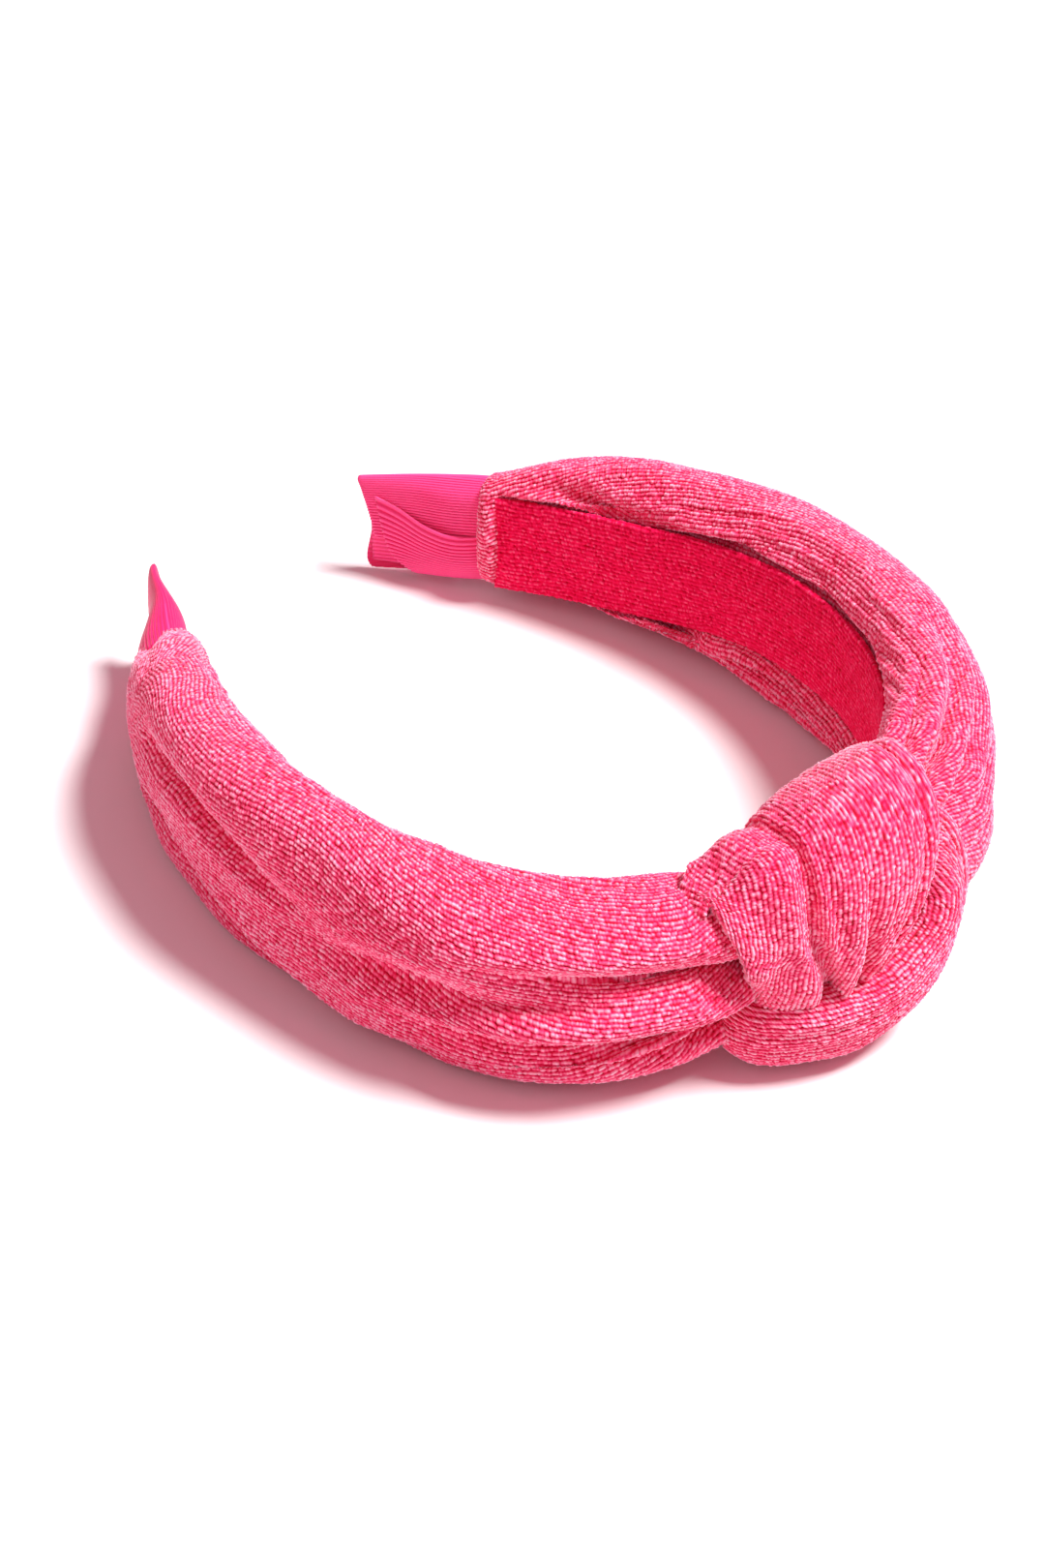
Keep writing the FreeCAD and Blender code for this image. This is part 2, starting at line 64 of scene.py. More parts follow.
# ------------ places on the band

def heading(run):
    """Direction of the middle line at this unsigned run."""
    arm_start = FLEX_RUN / CROWN_RADIUS
    tip_start = arm_start + (TIP_START - FLEX_RUN) / ARM_RADIUS
    along_arm = arm_start + (run - FLEX_RUN) / ARM_RADIUS
    along_tip = tip_start + (run - TIP_START) / TIP_RADIUS
    return np.where(run < FLEX_RUN, run / CROWN_RADIUS, np.where(run < TIP_START, along_arm, along_tip))


def arc_centres():
    """Plan centres of the band's three arcs on the right arm."""
    centre = np.array([0.0, CROWN_RADIUS - CROWN_SETBACK])
    centres = [centre]
    for join, before, after in ((FLEX_RUN, CROWN_RADIUS, ARM_RADIUS), (TIP_START, ARM_RADIUS, TIP_RADIUS)):
        angle = float(heading(np.array(join)))
        outwards = np.array([math.sin(angle), -math.cos(angle)])
        centre = centre + outwards * (before - after)
        centres.append(centre)
    return centres


CENTRES = arc_centres()


def laid(points):
    """Points of the level band, turned to how it lies on the floor."""
    x, y, z = (points[..., axis] for axis in range(3))
    z = z + DEPTH
    return np.stack([x, y * math.cos(TILT) + z * math.sin(TILT) - SHIFT,
                     z * math.cos(TILT) - y * math.sin(TILT)], axis=-1)


def level(run, out, high):
    """Points in millimetres for places on the band while it is level."""
    run, out, high = np.broadcast_arrays(*(np.asarray(value, float) for value in (run, out, high)))
    size = np.abs(run)
    angle = heading(size)
    which = (size >= FLEX_RUN).astype(int) + (size >= TIP_START)
    centre = np.array(CENTRES)[which]
    radius = np.array([CROWN_RADIUS, ARM_RADIUS, TIP_RADIUS])[which] + out
    x = centre[..., 0] + radius * np.sin(angle)
    y = centre[..., 1] - radius * np.cos(angle)
    return np.stack([np.where(run < 0, -x, x), y, high], axis=-1)


def band(run, out, high):
    """Points in millimetres for places on the resting band."""
    return laid(level(run, out, high))


def floor_depth(run, out):
    """How far the floor lies under the core's middle."""
    return DEPTH - level(run, out, 0)[..., 1] * math.tan(TILT)


# ------------ curves, noise, grids

def curve(x, table):
    """Smooth values through the (x, y) rows of a table, with no overshoot."""
    xs, ys = np.array(table, float).T
    steps = np.diff(ys) / np.diff(xs)
    slopes = np.zeros(len(xs))
    slopes[0], slopes[-1] = steps[0], steps[-1]
    product = steps[:-1] * steps[1:]
    total = np.where(product > 0, steps[:-1] + steps[1:], 1.0)
    slopes[1:-1] = np.where(product > 0, 2 * product / total, 0.0)
    x = np.clip(np.asarray(x, float), xs[0], xs[-1])
    at = np.clip(np.searchsorted(xs, x, side="right") - 1, 0, len(xs) - 2)
    width = xs[at + 1] - xs[at]
    t = (x - xs[at]) / width
    rise = t * t * (3 - 2 * t)
    return (ys[at] * (1 - rise) + ys[at + 1] * rise
            + width * (slopes[at] * t * (1 - t) ** 2 - slopes[at + 1] * t * t * (1 - t)))


def smooth(x, low, high):
    """0 below low, 1 above high, smooth between them."""
    t = np.clip((x - low) / (high - low), 0, 1)
    return t * t * (3 - 2 * t)


def between(x, start, full, fading, end):
    """1 from full to fading, and 0 before start and after end."""
    return smooth(x, start, full) * (1 - smooth(x, fading, end))


def dome(distance, reach, least=0.0):
    """Share of the full thickness at this distance from a rounded end."""
    return np.sqrt(np.clip(1 - (1 - np.clip(distance / reach, 0, 1)) ** 2, least, 1))


def rounded(values, power):
    """Values raised to a power with their signs kept, which turns an oval into a fuller section."""
    return np.sign(values) * np.abs(values) ** power


def unit(vectors):
    """Vectors brought to a length of 1."""
    return vectors / np.maximum(np.linalg.norm(vectors, axis=-1, keepdims=True), 1e-9)


def once_round(count):
    """Equal angles in radians, with 0 in the middle and the closing angle left out."""
    return np.linspace(-np.pi, np.pi, count, endpoint=False)


def amid(table, low, high, a, b):
    """Values of a table between its low and high rows and columns, at the shares a and b."""
    (i, j), (k, l) = low, high
    near = table[i, j] * (1 - a) + table[k, j] * a
    far = table[i, l] * (1 - a) + table[k, l] * a
    return near * (1 - b) + far * b


def noise(u, v, seed):
    """Smooth noise from -1 to 1 with a feature size of 1."""
    table = np.random.RandomState(seed).rand(256, 256) * 2 - 1
    u, v = np.broadcast_arrays(u, v)
    i, j = np.floor(u).astype(int), np.floor(v).astype(int)
    a, b = u - i, v - j
    a, b = a * a * (3 - 2 * a), b * b * (3 - 2 * b)
    i, j, k, l = i % 256, j % 256, (i + 1) % 256, (j + 1) % 256
    return amid(table, (i, j), (k, l), a, b)


def normals(points):
    """Outward unit normals of a grid that is closed in its second direction."""
    along = np.gradient(points, axis=0)
    around = np.roll(points, -1, axis=1) - np.roll(points, 1, axis=1)
    normal = unit(np.cross(along, around))
    outwards = points - points.mean(axis=1, keepdims=True)
    return normal * np.sign((normal * outwards).sum())


def grid_faces(rows, columns, closed):
    """Quads of a grid, as corner numbers."""
    wide = columns if closed else columns - 1
    i = np.arange(rows - 1)[:, None]
    j = np.arange(wide)[None, :]
    a = i * columns + j
    b = i * columns + (j + 1) % columns
    return np.stack([a, b, b + columns, a + columns], axis=-1).reshape(-1, 4)


def add_object(name, data):
    """An object in the scene for this data."""
    item = bpy.data.objects.new(name, data)
    bpy.context.scene.collection.objects.link(item)
    return item


def make_mesh(name, points, faces, marks):
    """An object from points in millimetres, arrays of faces with three or four corners, and a vector
    at each point for the material."""
    mesh = bpy.data.meshes.new(name)
    sizes = np.concatenate([np.full(len(face), face.shape[1]) for face in faces])
    mesh.vertices.add(len(points))
    mesh.vertices.foreach_set("co", (points * MM).astype(np.float32).ravel())
    mesh.loops.add(int(sizes.sum()))
    mesh.loops.foreach_set("vertex_index", np.concatenate([f.ravel() for f in faces]).astype(np.int32))
    mesh.polygons.add(len(sizes))
    mesh.polygons.foreach_set("loop_start", np.concatenate([[0], np.cumsum(sizes)[:-1]]).astype(np.int32))
    mesh.polygons.foreach_set("use_smooth", np.ones(len(sizes), bool))
    mesh.update(calc_edges=True)
    layer = mesh.attributes.new("pile", "FLOAT_VECTOR", "POINT")
    layer.data.foreach_set("vector", np.asarray(marks, np.float32).ravel())
    mesh.validate()
    return add_object(name, mesh)


def closed_tube(name, points, pile):
    """A tube from a closed grid, with both of its ends filled."""
    rows, columns = points.shape[:2]
    flat = points.reshape(-1, 3)
    ends = np.stack([points[0].mean(0), points[-1].mean(0)])
    faces = grid_faces(rows, columns, True)
    ring = np.arange(columns)
    first, last = rows * columns, rows * columns + 1
    turned = np.roll(ring, -1)
    start = np.stack([turned, ring, np.full(columns, first)], axis=1)
    end = np.stack([ring, turned, np.full(columns, last)], axis=1)
    end[:, :2] += (rows - 1) * columns
    corners = flat[faces]
    middle = flat.mean(0)
    volume = (np.cross(corners[:, 1] - middle, corners[:, 2] - middle) * (corners[:, 0] - middle)).sum()
    if volume < 0:
        faces, start, end = faces[:, ::-1], start[:, ::-1], end[:, ::-1]
    data = np.concatenate([pile.reshape(-1, 3), pile[0].mean(0)[None], pile[-1].mean(0)[None]])
    mesh_points = np.concatenate([flat, ends])
    return make_mesh(name, mesh_points, [faces, np.concatenate([start, end])], data)


# ------------ towelling

ROW_PITCH, LOOP_PITCH = 0.80, 0.58
PILE_HEIGHT, PILE_BASE = 0.62, 0.4
# A loop's place wanders by these shares of a pitch, and its radius is a least part and a random part.
PLACE_ACROSS, PLACE_ALONG = 0.22, 0.45
LOOP_WIDE, LOOP_LONG = (0.57, 0.12), (0.76, 0.18)
TALL = (0.62, 0.38)
# Slow wandering of whole rows: share of a pitch, and feature sizes across and along in millimetres.
ROW_DRIFT, ROW_SHAKE, LOOP_DRIFT = (0.45, 6.0, 8.0), (0.14, 1.7, 1.6), (0.5, 3.0, 2.5)
PILE_SEEDS = {"cover_left": 100, "cover_right": 200, "lining_left": 300, "lining_right": 320,
              "knot_wrap_cloth": 400, "knot_loop_cloth": 500}
# The lowest that cloth may lie over the floor, before and after its pile is raised.
LEAST_CLOTH, LEAST_PILE = 0.5, 0.05


def loop_height(u, v, seed):
    """Height of the pile, 0 to 1: rows of loops that each stand a little out of place."""
    random = np.random.RandomState(seed).rand(4, 512, 512)
    row = np.floor(u).astype(int)
    height = np.zeros(u.shape)
    for step in (-1, 0, 1):
        near = row + step
        place = v + 0.5 * (near % 2)
        cell = np.floor(place).astype(int)
        for side in (-1, 0, 1):
            loop = cell + side
            across, along, tall, wide = random[:, near % 512, loop % 512]
            du = (u - near - 0.5 - PLACE_ACROSS * (across - 0.5)) / (LOOP_WIDE[0] + LOOP_WIDE[1] * wide)
            dv = (place - loop - 0.5 - PLACE_ALONG * (along - 0.5)) / (LOOP_LONG[0] + LOOP_LONG[1] * wide)
            height = np.maximum(height, (TALL[0] + TALL[1] * tall) * (1 - du * du - dv * dv))
    return height


def drift(kind, across, along, seed):
    """Slow wandering of the rows or the loops, in pitches."""
    share, size_across, size_along = kind
    return share * noise(across / size_across, along / size_along, seed)


def piled_tube(name, points, across, along, height=PILE_HEIGHT, wander=1.0):
    """A tube from a closed grid that is raised by its rows of loops and kept above the floor."""
    seed = PILE_SEEDS[name]
    u = across / ROW_PITCH + wander * drift(ROW_DRIFT, across, along, seed)
    u = u + wander * drift(ROW_SHAKE, across, along, seed + 1)
    v = along / LOOP_PITCH + wander * drift(LOOP_DRIFT, across, along, seed + 2)
    raised = loop_height(u, v, seed)
    points = points + normals(points) * (height * (raised - PILE_BASE))[..., None]
    points[..., 2] = np.maximum(points[..., 2], LEAST_PILE)
    return closed_tube(name, points, np.stack([u, v, raised], axis=-1))


def resample(sections, columns):
    """Equal steps round each closed section, whose middle point is its outermost.
    Gives the new sections, each point's distance from the middle point, and the old points' distances."""
    closed = np.concatenate([sections, sections[:, :1]], axis=1)
    lengths = np.linalg.norm(np.diff(closed, axis=1), axis=2)
    distance = np.concatenate([np.zeros((len(sections), 1)), np.cumsum(lengths, axis=1)], axis=1)
    middle = sections.shape[1] // 2
    distance = distance - distance[:, middle:middle + 1]
    share = np.linspace(0, 1, columns, endpoint=False)
    target = distance[:, :1] + share[None] * (distance[:, -1:] - distance[:, :1])
    new = np.empty((len(sections), columns, 2))
    for row in range(len(sections)):
        for axis in range(2):
            new[row, :, axis] = np.interp(target[row], distance[row], closed[row, :, axis])
    return new, target, distance


def directions(sections):
    """Unit directions round each closed section, and outwards from it."""
    around = unit(np.roll(sections, -1, axis=1) - np.roll(sections, 1, axis=1))
    return around, np.stack([around[..., 1], -around[..., 0]], axis=-1)


def distances_at(angles, angle, distance):
    """Each section's distance round at its own angle, before it was resampled."""
    return np.array([np.interp(at, angle, row[:-1]) for at, row in zip(angles, distance)])


# Where a fold's upper lip is shifted most, and how far round that reaches.
LIP_AWAY, LIP_REACH = 1.2, 2.5


def crease(sections, place, centre, depth, above, below, shift):
    """Press a fold into the sections along the line at centre, and shift its upper lip over it."""
    around, outwards = directions(sections)
    away = place - centre[:, None]
    share = np.exp(-(away / np.where(away > 0, above, below)) ** 2)
    lip = np.exp(-((away - LIP_AWAY) / LIP_REACH) ** 2)
    scale = depth / max(float(np.max(np.abs(depth))), 1e-9)
    return (sections - outwards * (depth[:, None] * share)[..., None]
            - around * (shift * scale[:, None] * lip)[..., None])


# The simulated copy has one in so many rows and columns, and no point moves further than CLOTH_CAP.
CLOTH_ROWS, CLOTH_COLUMNS = 11, 10
CLOTH_FRAMES, CLOTH_CAP = 14, 1.2
CLOTH_SETTINGS = {
    "quality": 6,
    "mass": 0.15,
    "tension_stiffness": 12,
    "compression_stiffness": 6,
    "shear_stiffness": 4,
    "bending_stiffness": 0.3,
    "use_pressure": True,
    "uniform_pressure_force": 3.0,
}


def blown_up(points, held):
    """How far the points of a closed grid of cloth move when it is blown up."""
    cloth = closed_tube("cloth_copy", points, np.zeros(points.shape))
    weights = np.concatenate([held.ravel(), [1.0, 1.0]])
    group = cloth.vertex_groups.new(name="held")
    for number, weight in enumerate(weights):
        group.add([number], float(weight), "REPLACE")
    settings = cloth.modifiers.new("cloth", "CLOTH").settings
    for key, value in CLOTH_SETTINGS.items():
        setattr(settings, key, value)
    settings.vertex_group_mass = group.name
    settings.effector_weights.gravity = 0
    scene = bpy.context.scene
    for number in range(1, CLOTH_FRAMES + 1):
        scene.frame_set(number)
    result = cloth.evaluated_get(bpy.context.evaluated_depsgraph_get())
    places = np.empty(len(cloth.data.vertices) * 3)
    result.data.vertices.foreach_get("co", places)
    scene.frame_set(1)
    bpy.data.objects.remove(cloth)
    return np.nan_to_num(places.reshape(-1, 3)[:-2].reshape(points.shape) / MM - points)


def spread_rows(values, places, count):
    """As many rows as count, between the rows of a grid that stand at these places."""
    lines = values.reshape(len(values), -1).T
    rows = np.stack([np.interp(np.arange(count), places, line) for line in lines], axis=1)
    return rows.reshape(count, *values.shape[1:])


def moved_by_cloth(points, held):
    """How far cloth of this closed grid moves when it is blown up, with every held row and column kept.
    A coarse copy is simulated, and its movement is spread over the whole grid."""
    rows, columns = points.shape[:2]
    steps = np.unique(np.linspace(0, rows - 1, max(rows // CLOTH_ROWS, 4)).astype(int))
    around = np.arange(0, columns, CLOTH_COLUMNS)
    moved = blown_up(points[np.ix_(steps, around)], held[np.ix_(steps, around)])
    length = np.linalg.norm(moved, axis=2, keepdims=True)
    moved *= np.tanh(length / CLOTH_CAP) * CLOTH_CAP / np.maximum(length, 1e-9)
    moved = spread_rows(np.concatenate([moved, moved[:, :1]], axis=1), steps, rows)
    moved = spread_rows(moved.swapaxes(0, 1), np.append(around, columns), columns).swapaxes(0, 1)
    return moved * (1 - held)[..., None]


def settled(points, held):
    """A closed grid of cloth after it is blown up, kept above the floor."""
    points = points + moved_by_cloth(points, held)
    points[..., 2] = np.maximum(points[..., 2], LEAST_CLOTH)
    return points


# ------------ the two stuffed arms of the cover

FIRST_RUN, MOUTH_RUN = 0.3, 150.6
# Radius of the edge that is rolled in at the mouth, and how far it goes on inside.
COLLAR, TUCKED = 2.1, 3
COVER_COLUMNS, COVER_STRETCH = 500, 1.12
# The upper half leans outwards by TOP_LEAN at its top, and the lower half by SAG at its bottom.  The sag
# starts at this cosine of the angle round the section.
TOP_LEAN = {"left": 2.2, "right": 3.4}
SAG = {"left": 2.4, "right": 3.8}
SAG_FROM = {"left": -0.3, "right": -0.8}
SAG_BLUR = 0.6
LEAN_RUNS, SAG_RUNS = (26, 46, 128, 146), (26, 50, 132, 149)
# Fine crinkles beside the lining.
CRINKLE_RUNS, CRINKLE_HEIGHT = (30, 44, 128, 142), 0.42
# Cloth is free to move between these runs, and a strand's beyond these distances from its ends.
FREE_RUNS, END_HELD = (8, 16, 140, 147), (3, 9)
# How much higher than the core's middle the lining lies.
STRIP_LIFT = {
    "left": [(0, 0), (151, 0)],
    "right": [(0, 0), (35, 1.2), (60, 2.4), (90, 2.2), (125, 0.4), (151, 0)],
}
# The flat stretch under the lining: half its height, its soft edge, its end and where it lies.
WINDOW_HALF, WINDOW_BLUR = 9.3, 1.7
WINDOW_END = (147.8, 150.2)
WALL = -2.6
# Fullness of a section: the powers are 2 over the power of its oval.
TOP_POWER, BOTTOM_POWER, INNER_EXTRA = 2 / 2.25, 2 / 2.7, 0.02
# The underside reaches PRESSED below the floor, and is pressed flat softly at PRESSED_HEIGHT over it.
PRESSED, PRESSED_HEIGHT, PRESSED_BLUR = 0.9, 0.6, 0.9
UNDERSIDE_OUT = 6.0

SHAPES = {
    "left": {
        "top": [(0, 11), (20, 11.8), (30, 12.0), (40, 12.1), (50, 12.8), (65, 14.8), (85, 17.2),
                (120, 18.4), (138, 16.3), (151, 11)],
        "bottom": [(0, 13), (10, 14.5), (20, 17), (30, 18.8), (50, 20.4), (85, 20.6), (120, 18),
                   (138, 13.5), (151, 10.4)],
        "out": [(0, 6.5), (10, 7.6), (16, 10.4), (22, 13), (30, 15.6), (40, 17.6), (50, 17.6), (65, 14.2),
                (85, 10.8), (120, 11.2), (140, 10), (151, 7.4)],
        "in": [(0, 5.2), (30, 6.6), (50, 7.6), (100, 7.6), (140, 6.6), (151, 6.4)],
    },
    "right": {
        "top": [(0, 13), (10, 13.5), (20, 15.3), (30, 17.2), (50, 18.8), (85, 18.4), (120, 17.6),
                (138, 15.4), (151, 11.2)],
        "bottom": [(0, 13), (10, 13.5), (20, 16), (30, 18), (50, 19.2), (85, 18.6), (105, 15.2), (120, 13),
                   (138, 10.8), (151, 9.4)],
        "out": [(0, 6.5), (10, 8), (20, 12.2), (30, 14.8), (50, 15.8), (85, 15.1), (120, 14), (140, 11.4),
                (151, 8.8)],
        "in": [(0, 5.2), (30, 5.8), (50, 5.8), (85, 6.2), (110, 7.2), (130, 6.8), (151, 5.8)],
    },
}

# Each fold: (run, angle in degrees) rows, (run, depth) rows, width above, width below, lip shift.
# The angle is 0 outwards, 90 at the top, -90 underneath and 180 inside.
FOLDS = {
    "left": [
        ([(16, 12), (21, 15), (28, 25), (35, 28), (46, 23), (58, 16)],
         [(12, 5), (20, 7), (30, 7.4), (40, 5.6), (50, 2.6), (60, 0)], 1.7, 5.0, 1.4),
        ([(18, 2), (30, 2), (46, 0), (66, -2), (84, -4)],
         [(12, 0.5), (30, 1.0), (42, 2.6), (54, 3.8), (68, 3.4), (84, 1.2), (92, 0)], 2.8, 3.4, 0.8),
        ([(14, -36), (30, -38), (50, -42), (70, -46)],
         [(12, 2), (24, 3.6), (45, 3.0), (62, 1.2), (75, 0)], 1.2, 3.2, 1.0),
        ([(14, -18), (24, -19), (32, -16), (45, -15), (62, -19)],
         [(12, 5), (20, 7), (32, 7.4), (44, 5.2), (56, 2.6), (72, 0)], 1.7, 5.0, 1.4),
        ([(80, 4), (87, 7), (94, 11), (101, 17), (111, 22), (124, 22)],
         [(76, 0), (88, 1.8), (98, 3.4), (111, 4.2), (121, 2.8), (129, 0)], 2.4, 1.9, 0.5),
        ([(66, -52), (79, -42), (87, -30), (94, -20), (104, -9), (111, -5), (119, 0), (130, 1), (148, 6)],
         [(60, 0), (72, 1.8), (85, 4.0), (98, 6.2), (112, 7.4), (128, 6.8), (140, 4.0),
          (149, 1.0)], 0.8, 7.0, 2.4),
        ([(120, 60), (150, 62)], [(128, 0), (142, 0.9), (151, 1.6)], 2.2, 2.2, 0.0),
        ([(120, -52), (150, -48)], [(124, 0), (142, 1.4), (151, 2.0)], 2.0, 3.0, 0.4),
        ([(60, 128), (130, 128)], [(40, 0), (60, 0.6), (110, 0.7), (140, 0.0)], 0.9, 1.0, 0.0),
        ([(50, -140), (130, -140)], [(40, 0), (60, 1.0), (110, 1.0), (140, 0.0)], 1.0, 1.0, 0.0),
    ],
    "right": [
        ([(18, 8), (30, 18), (45, 24), (75, 28)],
         [(12, 4), (22, 5.2), (36, 3.6), (56, 1.4), (76, 0)], 1.3, 3.8, 1.2),
        ([(18, -8), (40, 0), (75, 2)], [(12, 4), (22, 5.0), (40, 3.0), (60, 1.0), (80, 0)], 1.3, 3.4, 1.2),
        ([(18, 34), (30, 46), (50, 52), (75, 54)],
         [(12, 3), (22, 4.4), (38, 3.0), (58, 1.0), (76, 0)], 1.2, 3.0, 1.2),
        ([(18, 66), (34, 74), (56, 80)], [(14, 3), (24, 4.2), (40, 2.8), (60, 0)], 1.2, 2.8, 1.1),
        ([(18, 96), (34, 104), (52, 108)], [(14, 2.2), (24, 3.2), (38, 2.0), (54, 0)], 1.2, 2.6, 0.9),
        ([(104, 142), (125, 138), (136, 122), (148, 104)],
         [(92, 0), (108, 1.6), (122, 2.8), (134, 2.2), (143, 0.6), (149, 0)], 2.6, 1.4, -1.2),
        ([(80, 40), (110, 30), (148, 24)], [(96, 0), (120, 1.0), (142, 1.8), (151, 1.2)], 3.0, 3.0, 0.0),
        ([(100, -20), (148, -16)], [(100, 0), (122, 1.2), (142, 2.0), (151, 1.2)], 3.0, 3.0, 0.0),
        ([(30, -152), (80, -150), (130, -146)], [(26, 0), (45, 3.2), (110, 2.8), (135, 0)], 1.0, 1.6, 0.4),
        ([(30, -138), (80, -135), (130, -131)], [(26, 0), (45, 2.4), (110, 2.0), (135, 0)], 0.9, 1.2, 0.3),
        ([(30, -124), (80, -120), (130, -118)], [(26, 0), (45, 1.3), (110, 1.2), (135, 0)], 0.7, 0.9, 0.0),
    ],
}


def sleeve_sections(side, run, angle):
    """The stuffed cover's sections, before its folds."""
    shape = SHAPES[side]
    top, bottom, out, inwards = (curve(run, shape[key])[:, None] for key in ("top", "bottom", "out", "in"))
    depth = floor_depth(run, UNDERSIDE_OUT)[:, None]
    bottom = np.minimum(bottom, depth + PRESSED)
    cosine, sine = np.cos(angle)[None], np.sin(angle)[None]
    fuller = np.where(sine < 0, BOTTOM_POWER, TOP_POWER)
    n = np.where(cosine > 0, out * rounded(cosine, fuller), inwards * rounded(cosine, fuller + INNER_EXTRA))
    z = np.where(sine > 0, top, bottom) * rounded(sine, fuller)
    lift = curve(run, STRIP_LIFT[side])[:, None]
    window = smooth(-n, 0.5, 1.5) * (1 - smooth(np.abs(z - lift), WINDOW_HALF, WINDOW_HALF + WINDOW_BLUR))
    window = window * (1 - smooth(run, *WINDOW_END))[:, None]
    n = n + (WALL - n) * window
    sag = np.where(sine < 0, (z / bottom) ** 2, 0) * between(run, *SAG_RUNS)[:, None]
    n = n + SAG[side] * sag * smooth(cosine, SAG_FROM[side], SAG_FROM[side] + SAG_BLUR)
    lean = np.where(sine > 0, (z / top) ** 2, 0) * between(run, *LEAN_RUNS)[:, None]
    n = n + TOP_LEAN[side] * lean
    start = PRESSED_HEIGHT - depth + PRESSED_BLUR
    z = np.where(z < start, start + PRESSED_BLUR * (np.exp((z - start) / PRESSED_BLUR) - 1), z)
    return np.stack([n, z], axis=-1)


def creased(side, run):
    """The sections with their folds, and each point's distance round its section."""
    angle = once_round(720)
    sections = sleeve_sections(side, np.minimum(run, MOUTH_RUN), angle)
    sections, place, distance = resample(sections, COVER_COLUMNS)
    for angles, depths, above, below, shift in FOLDS[side]:
        centre = distances_at(np.radians(curve(run, angles)), angle, distance)
        sections = crease(sections, place, centre, curve(run, depths), above, below, shift)
    return resample(sections, COVER_COLUMNS)[:2]


def sleeve_points(side):
    """The folded cover of one arm as a closed grid, with the distances along it and round it."""
    body = np.arange(FIRST_RUN, MOUTH_RUN, STEP)
    turn = np.linspace(0, np.pi, int(np.pi * COLLAR / STEP))[1:]
    inside = np.linspace(0, TUCKED, 4)[1:]
    run = np.concatenate([body, MOUTH_RUN + COLLAR * np.sin(turn), MOUTH_RUN - inside])
    inset = np.concatenate([0 * body, COLLAR * (1 - np.cos(turn)), 2 * COLLAR + 0 * inside])
    steps = np.hypot(np.diff(run), np.diff(inset))
    travelled = np.concatenate([[FIRST_RUN], FIRST_RUN + np.cumsum(steps)])
    sections, place = creased(side, run)

    long = run[:, None]
    crinkle = smooth(-sections[..., 0], -7, 1) * smooth(np.abs(sections[..., 1]), 9.5, 12)
    crinkle = crinkle * between(run, *CRINKLE_RUNS)[:, None]
    fine = noise(place / 1.25, long / 11.0 + place / 9.0, 31) + 0.5 * noise(place / 0.9, long / 5.0, 37)
    soft = 0.55 * noise(place / 9.0, long / 16.0, 41) + 0.22 * noise(place / 4.0, long / 9.0, 43)
    from_strip = np.abs(sections[..., 1] - curve(run, STRIP_LIFT[side])[:, None])
    lining_edge = smooth(-sections[..., 0], 1.5, 3.0) * (1 - smooth(from_strip, 9.5, 11.5))
    swell = CRINKLE_HEIGHT * fine * crinkle + soft * (1 - lining_edge) - inset[:, None]
    sections = sections + directions(sections)[1] * swell[..., None]

    n, z = sections[..., 0], sections[..., 1]
    points = band(SIGNS[side] * long, n, z)
    held = np.maximum(lining_edge, 1 - between(run, *FREE_RUNS)[:, None])
    held = np.clip(np.maximum(held, smooth(-n, 1.5, 3.0) * (from_strip < WINDOW_HALF)), 0, 1)
    return settled(points, held), travelled, place


def cover(side):
    """The towelling cover of one arm, from the knot to its gathered mouth."""
    points, travelled, place = sleeve_points(side)
    return piled_tube(f"cover_{side}", points, place, travelled[:, None] * COVER_STRETCH)


# ------------ the knot's two strands

# Where the crossing strand's edge lies on the left arm: (angle in degrees, run) rows.
EDGE = [(-10, -20), (-3, -20.7), (15, -22.3), (38, -24.3), (56, -25.9), (80, -27.6), (99, -30.3),
        (140, -31)]
# How high the strand rises over the arm, how far from its edge, and how deep the edge itself is sunk.
EDGE_RISE, EDGE_WIDTH, EDGE_SINK = 3.8, 9.0, 0.3
# Beyond its edge the strand sinks into the arm with this slope, as far as this distance.
SINK_SLOPE, SINK_REACH = 0.5, 3.0
INNER_FACE_RISE = -1.5
# The angles, the distance from the edge and the run up to which the strand is laid on the arm.
LAID_ANGLES, LAID_FROM, LAID_RUN = (-14, 4, 115, 145), 3.0, -5.0


def arm_surface(run, angle):
    """Distance from the middle line to the left arm's surface, for runs and angles in radians."""
    runs = np.arange(0.5, FLEX_RUN, 1.0)
    angles = np.linspace(-np.pi, np.pi, 361)
    surface = np.empty((len(runs), len(angles)))
    for row, section in enumerate(sleeve_sections("left", runs, angles[:-1])):
        turned = np.arctan2(section[:, 1], section[:, 0])
        order = np.argsort(turned)
        surface[row] = np.interp(angles, turned[order], np.hypot(section[:, 0], section[:, 1])[order])
    i = np.clip(np.abs(run) - runs[0], 0, len(runs) - 1.001)
    j = np.clip(np.degrees(angle + np.pi), 0, len(angles) - 1.001)
    a, b = np.floor(i).astype(int), np.floor(j).astype(int)
    return amid(surface, (a, b), (a + 1, b + 1), i - a, j - b)


